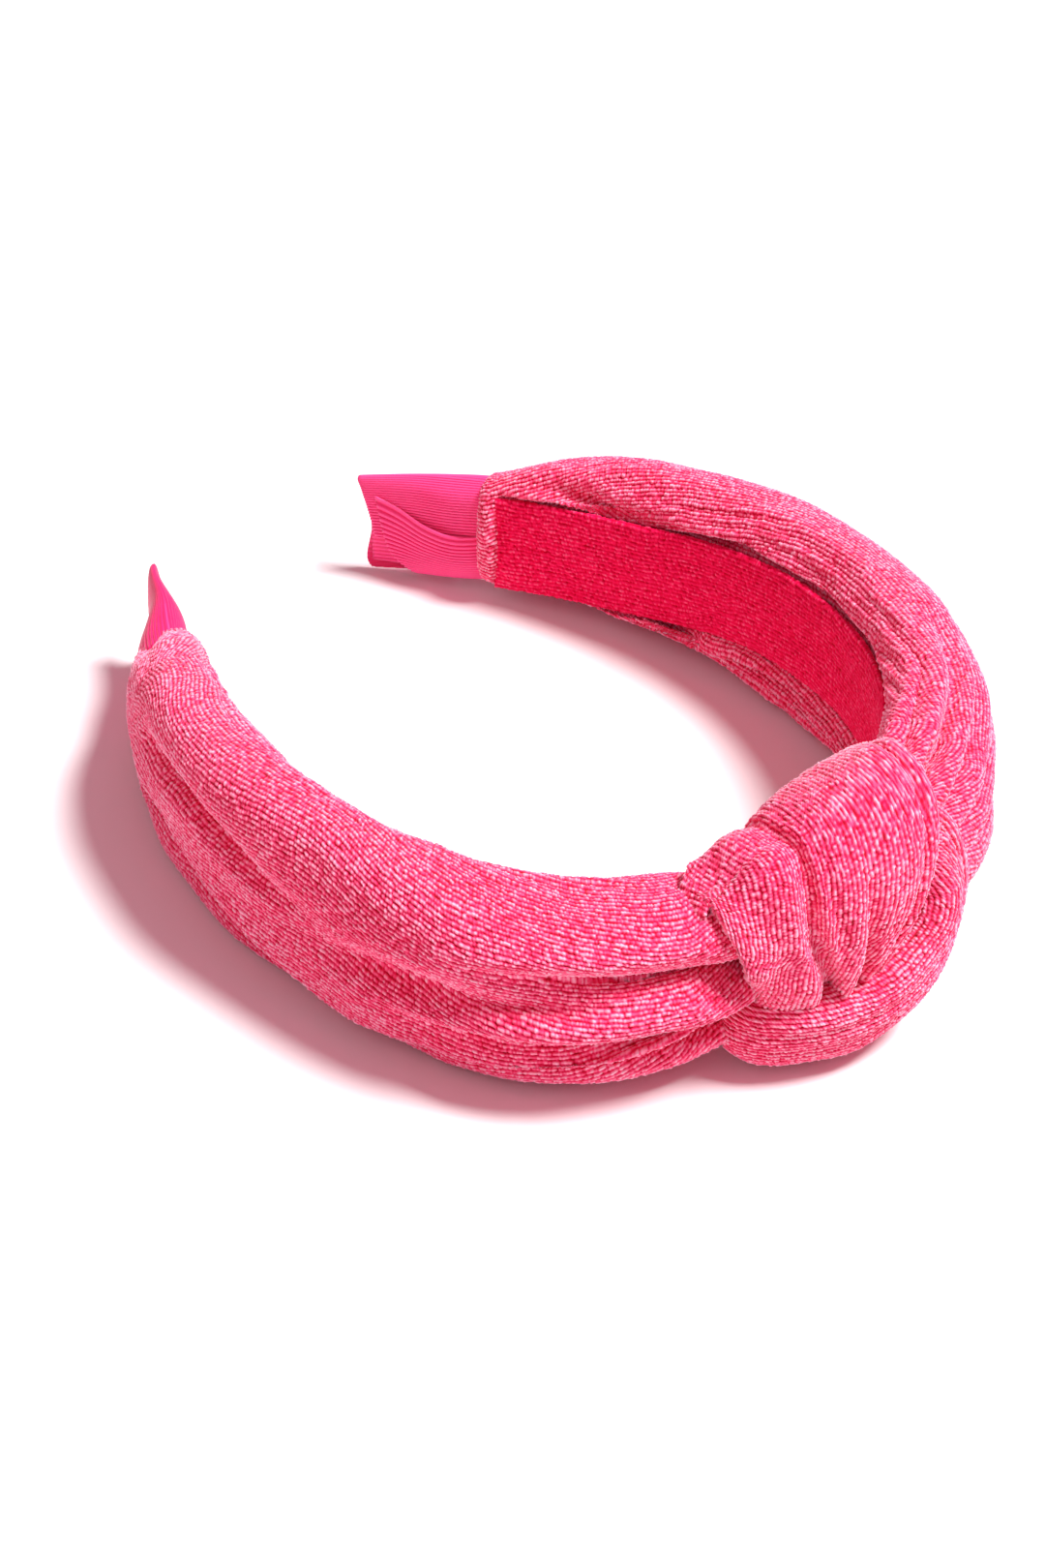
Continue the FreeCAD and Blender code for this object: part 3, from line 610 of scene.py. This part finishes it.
def rest_on_arm(points, facing):
    """A level strand's points with its edge laid on the left arm.  Facing is positive on its outer face."""
    x, y = points[..., 0], points[..., 1] - CENTRES[0][1]
    run = np.arctan2(x, -y) * CROWN_RADIUS
    out, high = np.hypot(x, y) - CROWN_RADIUS, points[..., 2]
    angle, radius = np.arctan2(high, out), np.hypot(out, high)
    degrees = np.degrees(angle)
    past = run - curve(degrees, EDGE)
    rise = EDGE_RISE * dome(past, EDGE_WIDTH) - EDGE_SINK
    rise = np.where(past > 0, rise, -EDGE_SINK + SINK_SLOPE * np.maximum(past, -SINK_REACH))
    rise = INNER_FACE_RISE + (rise - INNER_FACE_RISE) * smooth(facing, -0.8, 0.3)
    share = (1 - smooth(past, LAID_FROM, EDGE_WIDTH)) * between(degrees, *LAID_ANGLES) * (run < LAID_RUN)
    scale = 1 + share * ((arm_surface(run, angle) + rise) / np.maximum(radius, 1) - 1)
    return level(run, out * scale, high * scale)


SECTION_POWER, END_ROUND = 2.3, 3.0
# How often a strand's path is smoothed, and the steps along its rows of loops.
PATH_PASSES, ROW_PASSES = 60, 40


def strand_path(table):
    """Middle points, outer directions and half sizes at equal steps, and the distance along them."""
    places = [table[:, column] for column in range(3)]
    centre = level(*places)
    behind, ahead = (level(places[0] + step, places[1], places[2]) for step in (-0.5, 0.5))
    along = unit(ahead - behind)
    outer = level(places[0], places[1] + 1.0, places[2]) - centre
    looks = unit(along * table[:, 5:6] + outer * table[:, 6:7] + np.array([0, 0, 1.0]) * table[:, 7:8])
    knots = np.concatenate([[0], np.cumsum(np.linalg.norm(np.diff(centre, axis=0), axis=1))])
    t = np.linspace(0, knots[-1], int(knots[-1] / STEP))

    def spread(values):
        return np.stack([curve(t, np.stack([knots, column], axis=1)) for column in values.T], axis=1)

    path, face, half = spread(centre), spread(looks), spread(table[:, 3:5])
    for _ in range(PATH_PASSES):
        for line in (path, face):
            line[1:-1] = (line[:-2] + 2 * line[1:-1] + line[2:]) / 4
    return path, face, half, t


def strand(name, stations, columns, folds, roundness, lay=None):
    """A flattened tube through stations of run, out, high, half width, half thickness, and the
    direction that its outer face looks in: along the band, outwards and up."""
    path, face, half, t = strand_path(np.array(stations, float))
    ahead = unit(np.gradient(path, axis=0))
    axis = unit(np.cross(ahead, face))
    face = np.cross(axis, ahead)
    end = np.minimum(t, t[-1] - t)
    angle = once_round(480)
    x = half[:, :1] * rounded(np.sin(angle)[None], 2 / SECTION_POWER)
    y = half[:, 1:] * rounded(np.cos(angle)[None], roundness)
    sections = np.stack([y, x], axis=-1) * dome(end, END_ROUND, 0.02)[:, None, None]
    sections, place, distance = resample(sections, columns)
    share = t / t[-1]
    for sides, depths, above, below, shift in folds:
        bend = np.arcsin(rounded(np.clip(curve(share, sides), -0.98, 0.98), SECTION_POWER / 2))
        middle = distances_at(bend, angle, distance)
        sections = crease(sections, place, middle, curve(share, depths), above, below, shift)
    sections, place, _ = resample(sections, columns)
    points = path[:, None] + sections[..., 1:] * axis[:, None] + sections[..., :1] * face[:, None]
    if lay:
        points = lay(points, sections[..., 0])
    soft = noise(place / 6.0, t[:, None] / 7.0, PILE_SEEDS[name] + 5) * 0.4
    points = laid(points + normals(points) * soft[..., None])
    held = np.broadcast_to(1 - smooth(end, *END_HELD)[:, None], place.shape)
    points = settled(points, held)
    steps = np.linalg.norm(np.diff(points, axis=0), axis=2)
    for _ in range(ROW_PASSES):
        steps = (np.roll(steps, 1, axis=1) + steps + np.roll(steps, -1, axis=1)) / 3
    along = np.concatenate([np.zeros((1, columns)), np.cumsum(steps, axis=0)])
    return piled_tube(name, points, place, along - along[len(along) // 2])


# From behind the band over the top, down the front and under.  A fold's side is 1 on the edge towards
# the left arm and -1 on the edge towards the right arm.
WRAP = [
    (-8.2, -4.0, 6, 17, 2.4, -0.15, -1.0, 0.3),
    (-8.6, -4.2, 12, 19.5, 3.2, -0.21, -0.8, 0.6),
    (-8.8, -0.5, 17.4, 22.4, 4.3, -0.26, -0.2, 1.0),
    (-8.2, 5.0, 17.9, 21.2, 4.8, -0.34, 0.45, 0.9),
    (-8.8, 9.9, 13.5, 18.4, 5.0, -0.29, 0.95, 0.4),
    (-9.4, 11.6, 6, 16.0, 5.0, -0.25, 1.0, 0.1),
    (-9.5, 11.8, 0, 13.2, 5.0, -0.24, 1.0, -0.05),
    (-9.2, 10.5, -5.2, 11, 4.8, -0.2, 0.9, -0.4),
    (-9.4, 6.0, -9.8, 9, 3.8, 0, 0.6, -0.9),
    (-9, 1.5, -12.5, 7, 3.0, 0, 0.0, -1.0),
]
WRAP_FOLDS = [
    ([(0, 0.24), (0.3, 0.16), (0.42, 0.15), (0.55, 0.12), (0.8, -0.2), (1, -0.4)],
     [(0, 0.8), (0.2, 1.4), (0.4, 2.4), (0.7, 3.0), (0.85, 3.2), (1, 2)], 2.2, 0.8, -1.0),
    ([(0, -0.90), (0.6, -0.86), (1, -0.6)], [(0, 0.5), (0.3, 0.9), (0.6, 1.1), (1, 0.6)], 1.0, 0.9, 0.2),
    ([(0, -0.3), (0.5, -0.35), (0.7, -0.45), (1, -0.5)],
     [(0, 0.0), (0.4, 0.3), (0.6, 1.6), (0.75, 3.2), (1, 2.4)], 1.0, 1.8, 0.7),
    ([(0, 0.1), (0.4, 0.05), (0.6, -0.1), (1, -0.2)],
     [(0, 0.2), (0.3, 0.6), (0.55, 0.9), (0.7, 0.7), (1, 0.0)], 1.4, 1.4, 0.0),
]
LOOP = [
    (-21, 3.5, -13.6, 5.2, 3.0, 0, 1.0, -0.2),
    (-16.5, 7.5, -14.0, 6.6, 4.4, 0, 1.0, -0.25),
    (-11, 9.8, -14.0, 7.4, 5.0, 0, 1.0, -0.3),
    (-4, 12.0, -13.4, 7.6, 5.2, 0, 1.0, -0.3),
    (4, 13.2, -10.2, 7.8, 5.4, 0.1, 1.0, -0.25),
    (9.5, 13.2, -4.5, 7.8, 5.4, 0.3, 1.0, -0.1),
    (11.8, 12.2, 2.5, 7.6, 5.2, 0.4, 1.0, 0.1),
    (10.5, 10.0, 9.0, 6.8, 4.6, 0.35, 1.0, 0.4),
    (6, 6.5, 13.0, 5.6, 3.6, 0.1, 0.8, 0.8),
    (1, 3.5, 14.5, 4.6, 3.0, 0, 0.5, 1.0),
]
LOOP_FOLDS = [
    ([(0, 0.1), (0.5, 0.2), (1, 0.2)], [(0, 0.0), (0.5, 0.6), (0.72, 2.0), (1, 1.6)], 1.4, 1.4, 0.0),
    ([(0, -0.4), (1, -0.3)], [(0, 0.4), (0.4, 0.6), (1, 0.4)], 1.2, 1.2, 0.0),
]


# ------------ the strip inside, pads and ribbons

LINING_END, LINING_STEP = 149.4, 0.3
# Half the thickness and half the width of the strip, and where its middle lies.
LINING_THICK, LINING_WIDE, LINING_PLACE = 0.78, 9.35, -3.45
LINING_PILE = {"height": 0.55, "wander": 1.5}


def lining(side):
    """The soft strip on the inside of one arm, from the middle of the knot to its tip."""
    run = np.arange(0, LINING_END, LINING_STEP)
    angle = once_round(480)
    n = LINING_THICK * rounded(np.cos(angle), 0.5)
    z = LINING_WIDE * rounded(np.sin(angle), 0.7)
    sections = np.broadcast_to(np.stack([n, z], axis=-1), (len(run), len(angle), 2))
    sections, place, _ = resample(sections, 150)
    wave = 0.22 * noise(sections[..., 1] / 5.0, run[:, None] / 12.0, 61)
    high = sections[..., 1] + curve(run, STRIP_LIFT[side])[:, None]
    points = band(SIGNS[side] * run[:, None], sections[..., 0] + LINING_PLACE + wave, high)
    return piled_tube(f"lining_{side}", points, place, run[:, None], **LINING_PILE)


PAD_START, PAD_END, PAD_STEP = 41.5, 145, 2.0
# How far the pad stays inside the cover's outline, and its least sizes.
PAD_CLEAR_OUT, PAD_CLEAR_TALL = 8.6, 6.4
PAD_LEAST_OUT, PAD_LEAST_TALL = 2.4, 4.0
PAD_INNER, PAD_EASE = 1.2, 0.4


def pad(side):
    """The stuffing inside one arm of the cover, clear of the cover's folds."""
    run = np.arange(PAD_START, PAD_END, PAD_STEP)
    angle = once_round(48)[None]
    shape = SHAPES[side]
    half = np.maximum(curve(run, shape["out"]) - PAD_CLEAR_OUT, PAD_LEAST_OUT)[:, None] / 2
    tall = np.maximum(curve(run, shape["top"]) - PAD_CLEAR_TALL, PAD_LEAST_TALL)[:, None]
    ends = dome(np.minimum(run - run[0], run[-1] - run), 5.0, 0.05)[:, None]
    n = PAD_INNER + half + (half - PAD_EASE) * np.cos(angle) * ends
    z = tall * np.sin(angle) * ends
    points = band(SIGNS[side] * run[:, None], n, z)
    return closed_tube(f"pad_{side}", points, np.zeros(points.shape))


RIBBON_START, RIBBON_WIDTH = 149.0, 62.0
RIB_PITCH, RIB_HEIGHT = 0.85, 0.15
RIBBON_THICKNESS = 0.35
RIBBON_POWER = 0.75
# Where the sheet ends, for each share of its width.  The width runs from the lower flap's free edge
# down the inside, round the bottom, up the outside, over the top and down the inside again to the
# upper flap's hidden edge.
RIBBON_TIP = [(0, 172.8), (0.12, 170.5), (0.27, 165.0), (0.315, 166.5), (0.345, 174.0), (0.40, 175.0),
              (0.50, 173.6), (0.62, 175.4), (0.68, 176.2), (0.75, 175.6), (1, 173)]
# The angle round the tip over 180 degrees: -0.5 at the bottom, 0 outside and 0.5 at the top.
RIBBON_TURN = [(0, -1.0), (0.30, -0.5), (0.66, 0.5), (1.0, 1.0)]
BOTTOM_SHARE, TOP_SHARE = 0.30, 0.66
# Reach from the core's middle at each run, and the height of the lower flap's free edge.
RIBBON_TALL = [(149, 10.4), (163, 10.0), (176, 9.0)]
RIBBON_DEEP = [(149, 9.3), (163, 10.0), (176, 10.8)]
RIBBON_OUT = [(149, 6.4), (153, 6.0), (160, 4.0), (167, 2.0), (176, 0.75)]
RIBBON_IN = [(149, 2.2), (152, 2.4), (158, 2.9), (167, 1.8), (176, 0.75)]
FLAP_EDGE = [(149, 0.5), (156, 0.2), (163, 1.6), (169, 4.4), (176, 7.4)]
FLAP_LIFT, FLAP_WAVE, WAVE_LENGTH = 0.75, 0.45, 3.1
# The ribbon's turned-in end, which shows beside the lower flap.
INNER_START, INNER_END = 161.0, 173.8
INNER_TALL = [(149, 9.3), (163, 9.8), (176, 9.0)]
INNER_OUT = [(149, 4.6), (153, 4.4), (160, 3.2), (167, 1.7), (176, 0.75)]
TIP_CURL = {"left": 2.2, "right": 0.0}


def sheet_normals(sheet):
    """Unit normals of an open grid."""
    return unit(np.cross(np.gradient(sheet, axis=0), np.gradient(sheet, axis=1)))


def slab(sheet):
    """Points and faces of ribbon with its thickness, from an open grid."""
    half = sheet_normals(sheet) * RIBBON_THICKNESS / 2
    rows, columns = sheet.shape[:2]
    front, back = (sheet + half).reshape(-1, 3), (sheet - half).reshape(-1, 3)
    faces = grid_faces(rows, columns, False)
    number = np.arange(rows * columns).reshape(rows, columns)
    rim = np.concatenate([number[0, :-1], number[:-1, -1], number[-1, :0:-1], number[:0:-1, 0]])
    step = np.roll(rim, -1)
    shift = rows * columns
    sides = np.stack([rim, step, step + shift, rim + shift], axis=1)
    return np.concatenate([front, back]), np.concatenate([faces[:, ::-1], faces + shift, sides])


def tip_curl(side, run):
    """How far the tip of the ribbon curls outwards."""
    return TIP_CURL[side] * smooth(run, 160, 176) ** 1.3


def folded_ribbon(side):
    """The sheet round the tip and its marks for the material, with its lower flap over the upper one."""
    width = np.arange(0, RIBBON_WIDTH, RIB_PITCH / 6)[None]
    w = width / width[0, -1]
    run = RIBBON_START + (curve(w, RIBBON_TIP) - RIBBON_START) * np.linspace(0, 1, 47)[:, None]
    tall, deep = curve(run, RIBBON_TALL), curve(run, RIBBON_DEEP)
    thick, flat = curve(run, RIBBON_OUT), curve(run, RIBBON_IN)
    angle = curve(w, RIBBON_TURN) * np.pi
    z = np.where(angle < 0, deep, tall) * rounded(np.sin(angle), RIBBON_POWER)
    n = np.where(np.cos(angle) > 0, thick, flat) * rounded(np.cos(angle), RIBBON_POWER)

    lower = w < BOTTOM_SHARE
    reach = np.clip((BOTTOM_SHARE - w) / BOTTOM_SHARE, 0, 1)
    flap_z = curve(run, FLAP_EDGE) * reach ** 1.5 - deep * np.cos(reach * np.pi / 2) ** RIBBON_POWER
    wave = FLAP_WAVE * np.sin(run / WAVE_LENGTH) * smooth(reach, 0.5, 1.0)
    flap = (FLAP_LIFT * smooth(reach, 0.02, 0.3) + wave) * smooth(run, 149, 155)
    z = np.where(lower, flap_z, z)
    n = np.where(lower, -flat * np.sin(reach * np.pi / 2) ** 0.6 - flap, n)

    upper = np.clip((w - TOP_SHARE) / (1 - TOP_SHARE), 0, 1)
    z = np.where(w > TOP_SHARE, tall - (tall + 3.0) * upper ** 1.4, z)
    n = np.where(w > TOP_SHARE, -flat * np.sin(np.clip(upper * 2.2, 0, 1) * np.pi / 2) ** 0.8, n)

    sheet = band(SIGNS[side] * run, n + tip_curl(side, run), z)
    ribs = RIB_HEIGHT * np.cos(2 * np.pi * width / RIB_PITCH)
    marks = np.stack([width / RIB_PITCH + 0 * run, run, 0 * run], axis=-1)
    return sheet + sheet_normals(sheet) * ribs[..., None], marks


def turned_in_ribbon(side):
    """The sheet inside the fold at the tip, and its marks for the material."""
    wide = np.arange(-0.93, 0.94, 0.012)[None]
    run = INNER_START + (INNER_END - INNER_START) * np.linspace(0, 1, 18)[:, None] + 0 * wide
    high = curve(run, INNER_TALL) * wide
    n = 0.55 - curve(run, INNER_OUT) * np.sqrt(np.clip(1 - wide ** 2, 0, 1))
    sheet = band(SIGNS[side] * run, n + tip_curl(side, run), high)
    return sheet, np.stack([high / RIB_PITCH, run, 0 * run], axis=-1)


def ribbon(side):
    """The grosgrain ribbon folded round one tip."""
    points, faces, marks = [], [], []
    for sheet, sheet_marks in (folded_ribbon(side), turned_in_ribbon(side)):
        sheet_points, sheet_faces = slab(sheet)
        faces.append(sheet_faces + sum(len(part) for part in points))
        points.append(sheet_points)
        marks += [sheet_marks.reshape(-1, 3)] * 2
    return make_mesh(f"ribbon_{side}", np.concatenate(points), faces, np.concatenate(marks))


# ------------ materials

class Shader:
    """A material made of nodes, with short ways to add and join them."""

    def __init__(self, name, **values):
        self.material = bpy.data.materials.new(name)
        self.material.use_nodes = True
        self.nodes = self.material.node_tree.nodes
        self.links = self.material.node_tree.links
        self.surface = self.nodes["Principled BSDF"]
        for key, value in values.items():
            self.surface.inputs[key.replace("_", " ")].default_value = value

    def add(self, kind, inputs=(), **settings):
        """A node with its settings, and with a value or a link for each of its inputs."""
        node = self.nodes.new(kind)
        for key, value in settings.items():
            setattr(node, key, value)
        for key, value in dict(inputs).items():
            socket = node.inputs[key]
            if isinstance(value, bpy.types.NodeSocket):
                self.links.new(value, socket)
            else:
                socket.default_value = value
        return node

    def math(self, operation, *values):
        return self.add("ShaderNodeMath", dict(enumerate(values)), operation=operation).outputs[0]

    def mark(self):
        """What the mesh says of its pile or its ribs: across, along and height."""
        mark = self.add("ShaderNodeAttribute", attribute_name="pile")
        return self.add("ShaderNodeSeparateXYZ", {"Vector": mark.outputs["Vector"]}).outputs

    def noise(self, scale, detail=2.0):
        place = self.add("ShaderNodeTexCoord").outputs["Object"]
        inputs = {"Vector": place, "Scale": scale, "Detail": detail}
        return self.add("ShaderNodeTexNoise", inputs).outputs["Fac"]

    def colour(self, factor, stops):
        """Colour the surface through these stops."""
        node = self.add("ShaderNodeValToRGB", {"Fac": factor})
        elements = node.color_ramp.elements
        while len(elements) < len(stops):
            elements.new(0.5)
        for element, (place, colour) in zip(elements, stops):
            element.position = place
            element.color = (*colour, 1)
        self.links.new(node.outputs["Color"], self.surface.inputs["Base Color"])

    def bump(self, height, distance, strength):
        node = self.add("ShaderNodeBump", {"Height": height, "Distance": distance, "Strength": strength})
        self.links.new(node.outputs["Normal"], self.surface.inputs["Normal"])


def towelling(name, stops, sheen, patchy, gloss):
    """Rows of cotton loops, coloured by their height with painted shade between the rows and painted
    highlights at the tips.
    """
    shader = Shader(name, Roughness=0.9, Sheen_Weight=sheen, Sheen_Roughness=0.42,
                    Sheen_Tint=(1.0, 0.80, 0.90, 1), Specular_IOR_Level=gloss)
    loops = shader.mark()["Z"]
    fibres = shader.noise(scale=3200.0, detail=3.0)
    loops = shader.math("ADD", loops, shader.math("MULTIPLY_ADD", fibres, 0.24, -0.12))
    patches = shader.noise(scale=55.0, detail=3.0)
    factor = shader.math("ADD", loops, shader.math("MULTIPLY_ADD", patches, patchy, -patchy / 2))
    shader.colour(factor, stops)
    shader.bump(loops, distance=0.0003, strength=0.8)
    return shader.material


def grosgrain():
    """Ribbed ribbon with a soft lustre and fine threads between its ribs, coloured by their height with
    painted shade between the ribs and painted highlights on their tops.
    """
    shader = Shader("grosgrain", Roughness=0.42, Sheen_Weight=0.25, Sheen_Roughness=0.3,
                    Specular_IOR_Level=0.4)
    mark = shader.mark()
    ribs = shader.math("COSINE", shader.math("MULTIPLY", mark["X"], 2 * math.pi))
    threads = shader.math("SINE", shader.math("MULTIPLY", mark["Y"], 2 * math.pi / THREAD_PITCH))
    height = shader.math("ADD", ribs, shader.math("MULTIPLY", threads, 0.12))
    patches = shader.math("MULTIPLY", shader.noise(scale=120.0), 0.25)
    shader.colour(shader.math("ADD", shader.math("MULTIPLY_ADD", height, 0.3, 0.4), patches), RIB_SHADE_STOPS)
    shader.bump(height, distance=0.00008, strength=0.6)
    return shader.material


def plain(name, dark, light, scale, roughness, distance, sheen=0.0):
    """A simple stuff with fine mottling, for the pieces that the cover hides."""
    shader = Shader(name, Roughness=roughness, Sheen_Weight=sheen)
    mottle = shader.noise(scale, detail=4.0)
    shader.colour(mottle, [(0.3, dark), (0.7, light)])
    shader.bump(mottle, distance, strength=0.5)
    return shader.material


def dress(piece, material):
    """The piece wears this material only."""
    piece.data.materials.clear()
    piece.data.materials.append(material)


THREAD_PITCH = 0.28
# Colours from between the loops to their tips, and from between the ribs to their tops: the dark stops
# paint shade in the hollows and the pale stops paint highlights on the tips.
PILE_SHADE_STOPS = [
    (0.14, (0.48, 0.0, 0.016)),
    (0.38, (0.79, 0.004, 0.080)),
    (0.60, (0.93, 0.095, 0.245)),
    (0.90, (0.98, 0.52, 0.66)),
]
# The strip's colours are the loop colours darkened, painted shade on the strip inside the arm, with painted
# shade between its loops and painted highlights at their tips.
STRIP_SHADE_STOPS = [
    (0.10, (0.44, 0.0, 0.014)),
    (0.38, (0.74, 0.001, 0.055)),
    (0.68, (0.88, 0.012, 0.110)),
    (0.96, (0.95, 0.13, 0.27)),
]
# Rib colours: painted shade between the ribs and painted highlights on their tops.
RIB_SHADE_STOPS = [
    (0.15, (0.74, 0.010, 0.12)),
    (0.55, (0.95, 0.038, 0.23)),
    (0.95, (0.98, 0.10, 0.34)),
]
TERRY = towelling("towelling", PILE_SHADE_STOPS, sheen=1.0, patchy=0.22, gloss=0.12)
# The strip wears the towelling darkened to paint the shade inside the arm.
STRIP_IN_SHADE = towelling("velvet", STRIP_SHADE_STOPS, sheen=0.10, patchy=0.2, gloss=0.05)
RIBBED = grosgrain()
PADDING = plain("padding", (0.78, 0.76, 0.72), (0.92, 0.91, 0.88), 900.0, 0.95, 0.0004, 0.3)
THREAD = plain("thread", (0.62, 0.02, 0.10), (0.86, 0.08, 0.22), 4000.0, 0.7, 0.0001)
PLASTIC = plain("arch_plastic", (0.86, 0.86, 0.85), (0.93, 0.93, 0.92), 300.0, 0.35, 0.00003)
TAPE = plain("clear_tape", (0.80, 0.79, 0.74), (0.90, 0.89, 0.85), 500.0, 0.3, 0.00003)
GLUE = plain("hot_glue", (0.82, 0.80, 0.72), (0.92, 0.90, 0.84), 200.0, 0.3, 0.0002)

NODE_MATERIALS = {"core": PLASTIC, "lining_tape": TAPE, "tip_glue": GLUE, "knot_stitches": THREAD}


# ------------ pieces on their bodies


def bend_with_arm(piece):
    """Bake the piece's placement into its mesh."""
    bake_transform(piece)


def build():
    """Make every visible piece, put the pads, ribbons and knot strands on their bodies, and dress the CAD
    parts.
    """
    for side in ("left", "right"):
        body = f"{side}_arm"
        sleeve = cover(side)
        dress(sleeve, TERRY)
        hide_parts(f"cover_{side}", "knot_base")
        bend_with_arm(sleeve)

        strip = lining(side)
        dress(strip, STRIP_IN_SHADE)
        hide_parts(f"lining_{side}", "lining_crown")
        bend_with_arm(strip)

        stuffing = pad(side)
        dress(stuffing, PADDING)
        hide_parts(f"foam_{side}")
        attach(stuffing, body)

        end = ribbon(side)
        dress(end, RIBBED)
        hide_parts(f"ribbon_{side}")
        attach(end, body)

    wrap = strand("knot_wrap_cloth", WRAP, 380, WRAP_FOLDS, 1.15, rest_on_arm)
    loop = strand("knot_loop_cloth", LOOP, 240, LOOP_FOLDS, 0.87)
    for piece, node in ((wrap, "knot_wrap"), (loop, "knot_loop")):
        dress(piece, TERRY)
        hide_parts(node)
        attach(piece, "crown")

    for name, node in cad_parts.items():
        for start, material in NODE_MATERIALS.items():
            if name.startswith(start):
                dress(node, material)


# ------------ floor, lights, camera

AZIMUTH, ELEVATION = math.radians(-43.1), math.radians(35.0)
DISTANCE, LENS, SENSOR = 0.5986, 83.0, 36.0
NEAREST = 0.02
TARGET = Vector((-0.0137, -0.0054, -0.0002))
FLOOR_REACH = 12.0
# Each light: degrees to the right of the camera's view, degrees up, strength, spread and colour.
SUNS = {
    "key": (94, 62, 5.3, 19, (1, 1, 1)),
    "fill": (-48, 42, 0.42, 50, (1.0, 0.72, 0.80)),
}
AMBIENT, AMBIENT_STRENGTH = (1.0, 0.48, 0.56, 1), 0.40


def towards(azimuth, elevation):
    """Unit vector from the object at these angles in radians, with azimuth 0 at the front."""
    flat = math.cos(elevation)
    return Vector((math.sin(azimuth) * flat, -math.cos(azimuth) * flat, math.sin(elevation)))


def add_floor():
    """A white floor, wide enough to reach behind the horizon."""
    reach = FLOOR_REACH
    corners = [(-reach, -reach, 0), (reach, -reach, 0), (reach, reach, 0), (-reach, reach, 0)]
    mesh = bpy.data.meshes.new("floor")
    mesh.from_pydata(corners, [], [(0, 1, 2, 3)])
    floor = add_object("floor", mesh)
    shader = Shader("floor", Roughness=0.6, Specular_IOR_Level=0.15)
    shader.colour(shader.noise(scale=6.0), [(0.0, (0.86, 0.86, 0.86)), (1.0, (0.88, 0.88, 0.88))])
    dress(floor, shader.material)


def add_camera():
    """The camera, set up round the level band and laid on the floor with it."""
    back = towards(AZIMUTH, ELEVATION)
    right = Vector((math.cos(AZIMUTH), math.sin(AZIMUTH), 0))
    camera = add_object("camera", bpy.data.cameras.new("camera"))
    camera.data.lens = LENS
    camera.data.sensor_width = SENSOR
    camera.data.clip_start = NEAREST
    matrix = Matrix((right, back.cross(right), back)).transposed().to_4x4()
    matrix.translation = TARGET + back * DISTANCE
    raised = Matrix.Translation((0, 0, DEPTH * MM))
    laid_down = Matrix.Translation((0, -SHIFT * MM, 0)) @ Matrix.Rotation(-TILT, 4, "X") @ raised
    camera.matrix_world = laid_down @ matrix
    bpy.context.scene.camera = camera


def add_lights():
    """Two soft suns and a pink glow from all round."""
    for name, (azimuth, elevation, strength, spread, colour) in SUNS.items():
        lamp = bpy.data.lights.new(name, "SUN")
        lamp.energy, lamp.angle, lamp.color = strength, math.radians(spread), colour
        direction = towards(AZIMUTH + math.radians(azimuth), math.radians(elevation))
        add_object(name, lamp).rotation_euler = direction.to_track_quat("Z", "Y").to_euler()
    world = bpy.context.scene.world or bpy.data.worlds.new("world")
    bpy.context.scene.world = world
    world.use_nodes = True
    background = world.node_tree.nodes["Background"].inputs
    background["Color"].default_value = AMBIENT
    background["Strength"].default_value = AMBIENT_STRENGTH


bpy.context.scene.view_settings.view_transform = "Standard"
add_floor()
add_camera()
add_lights()
build()
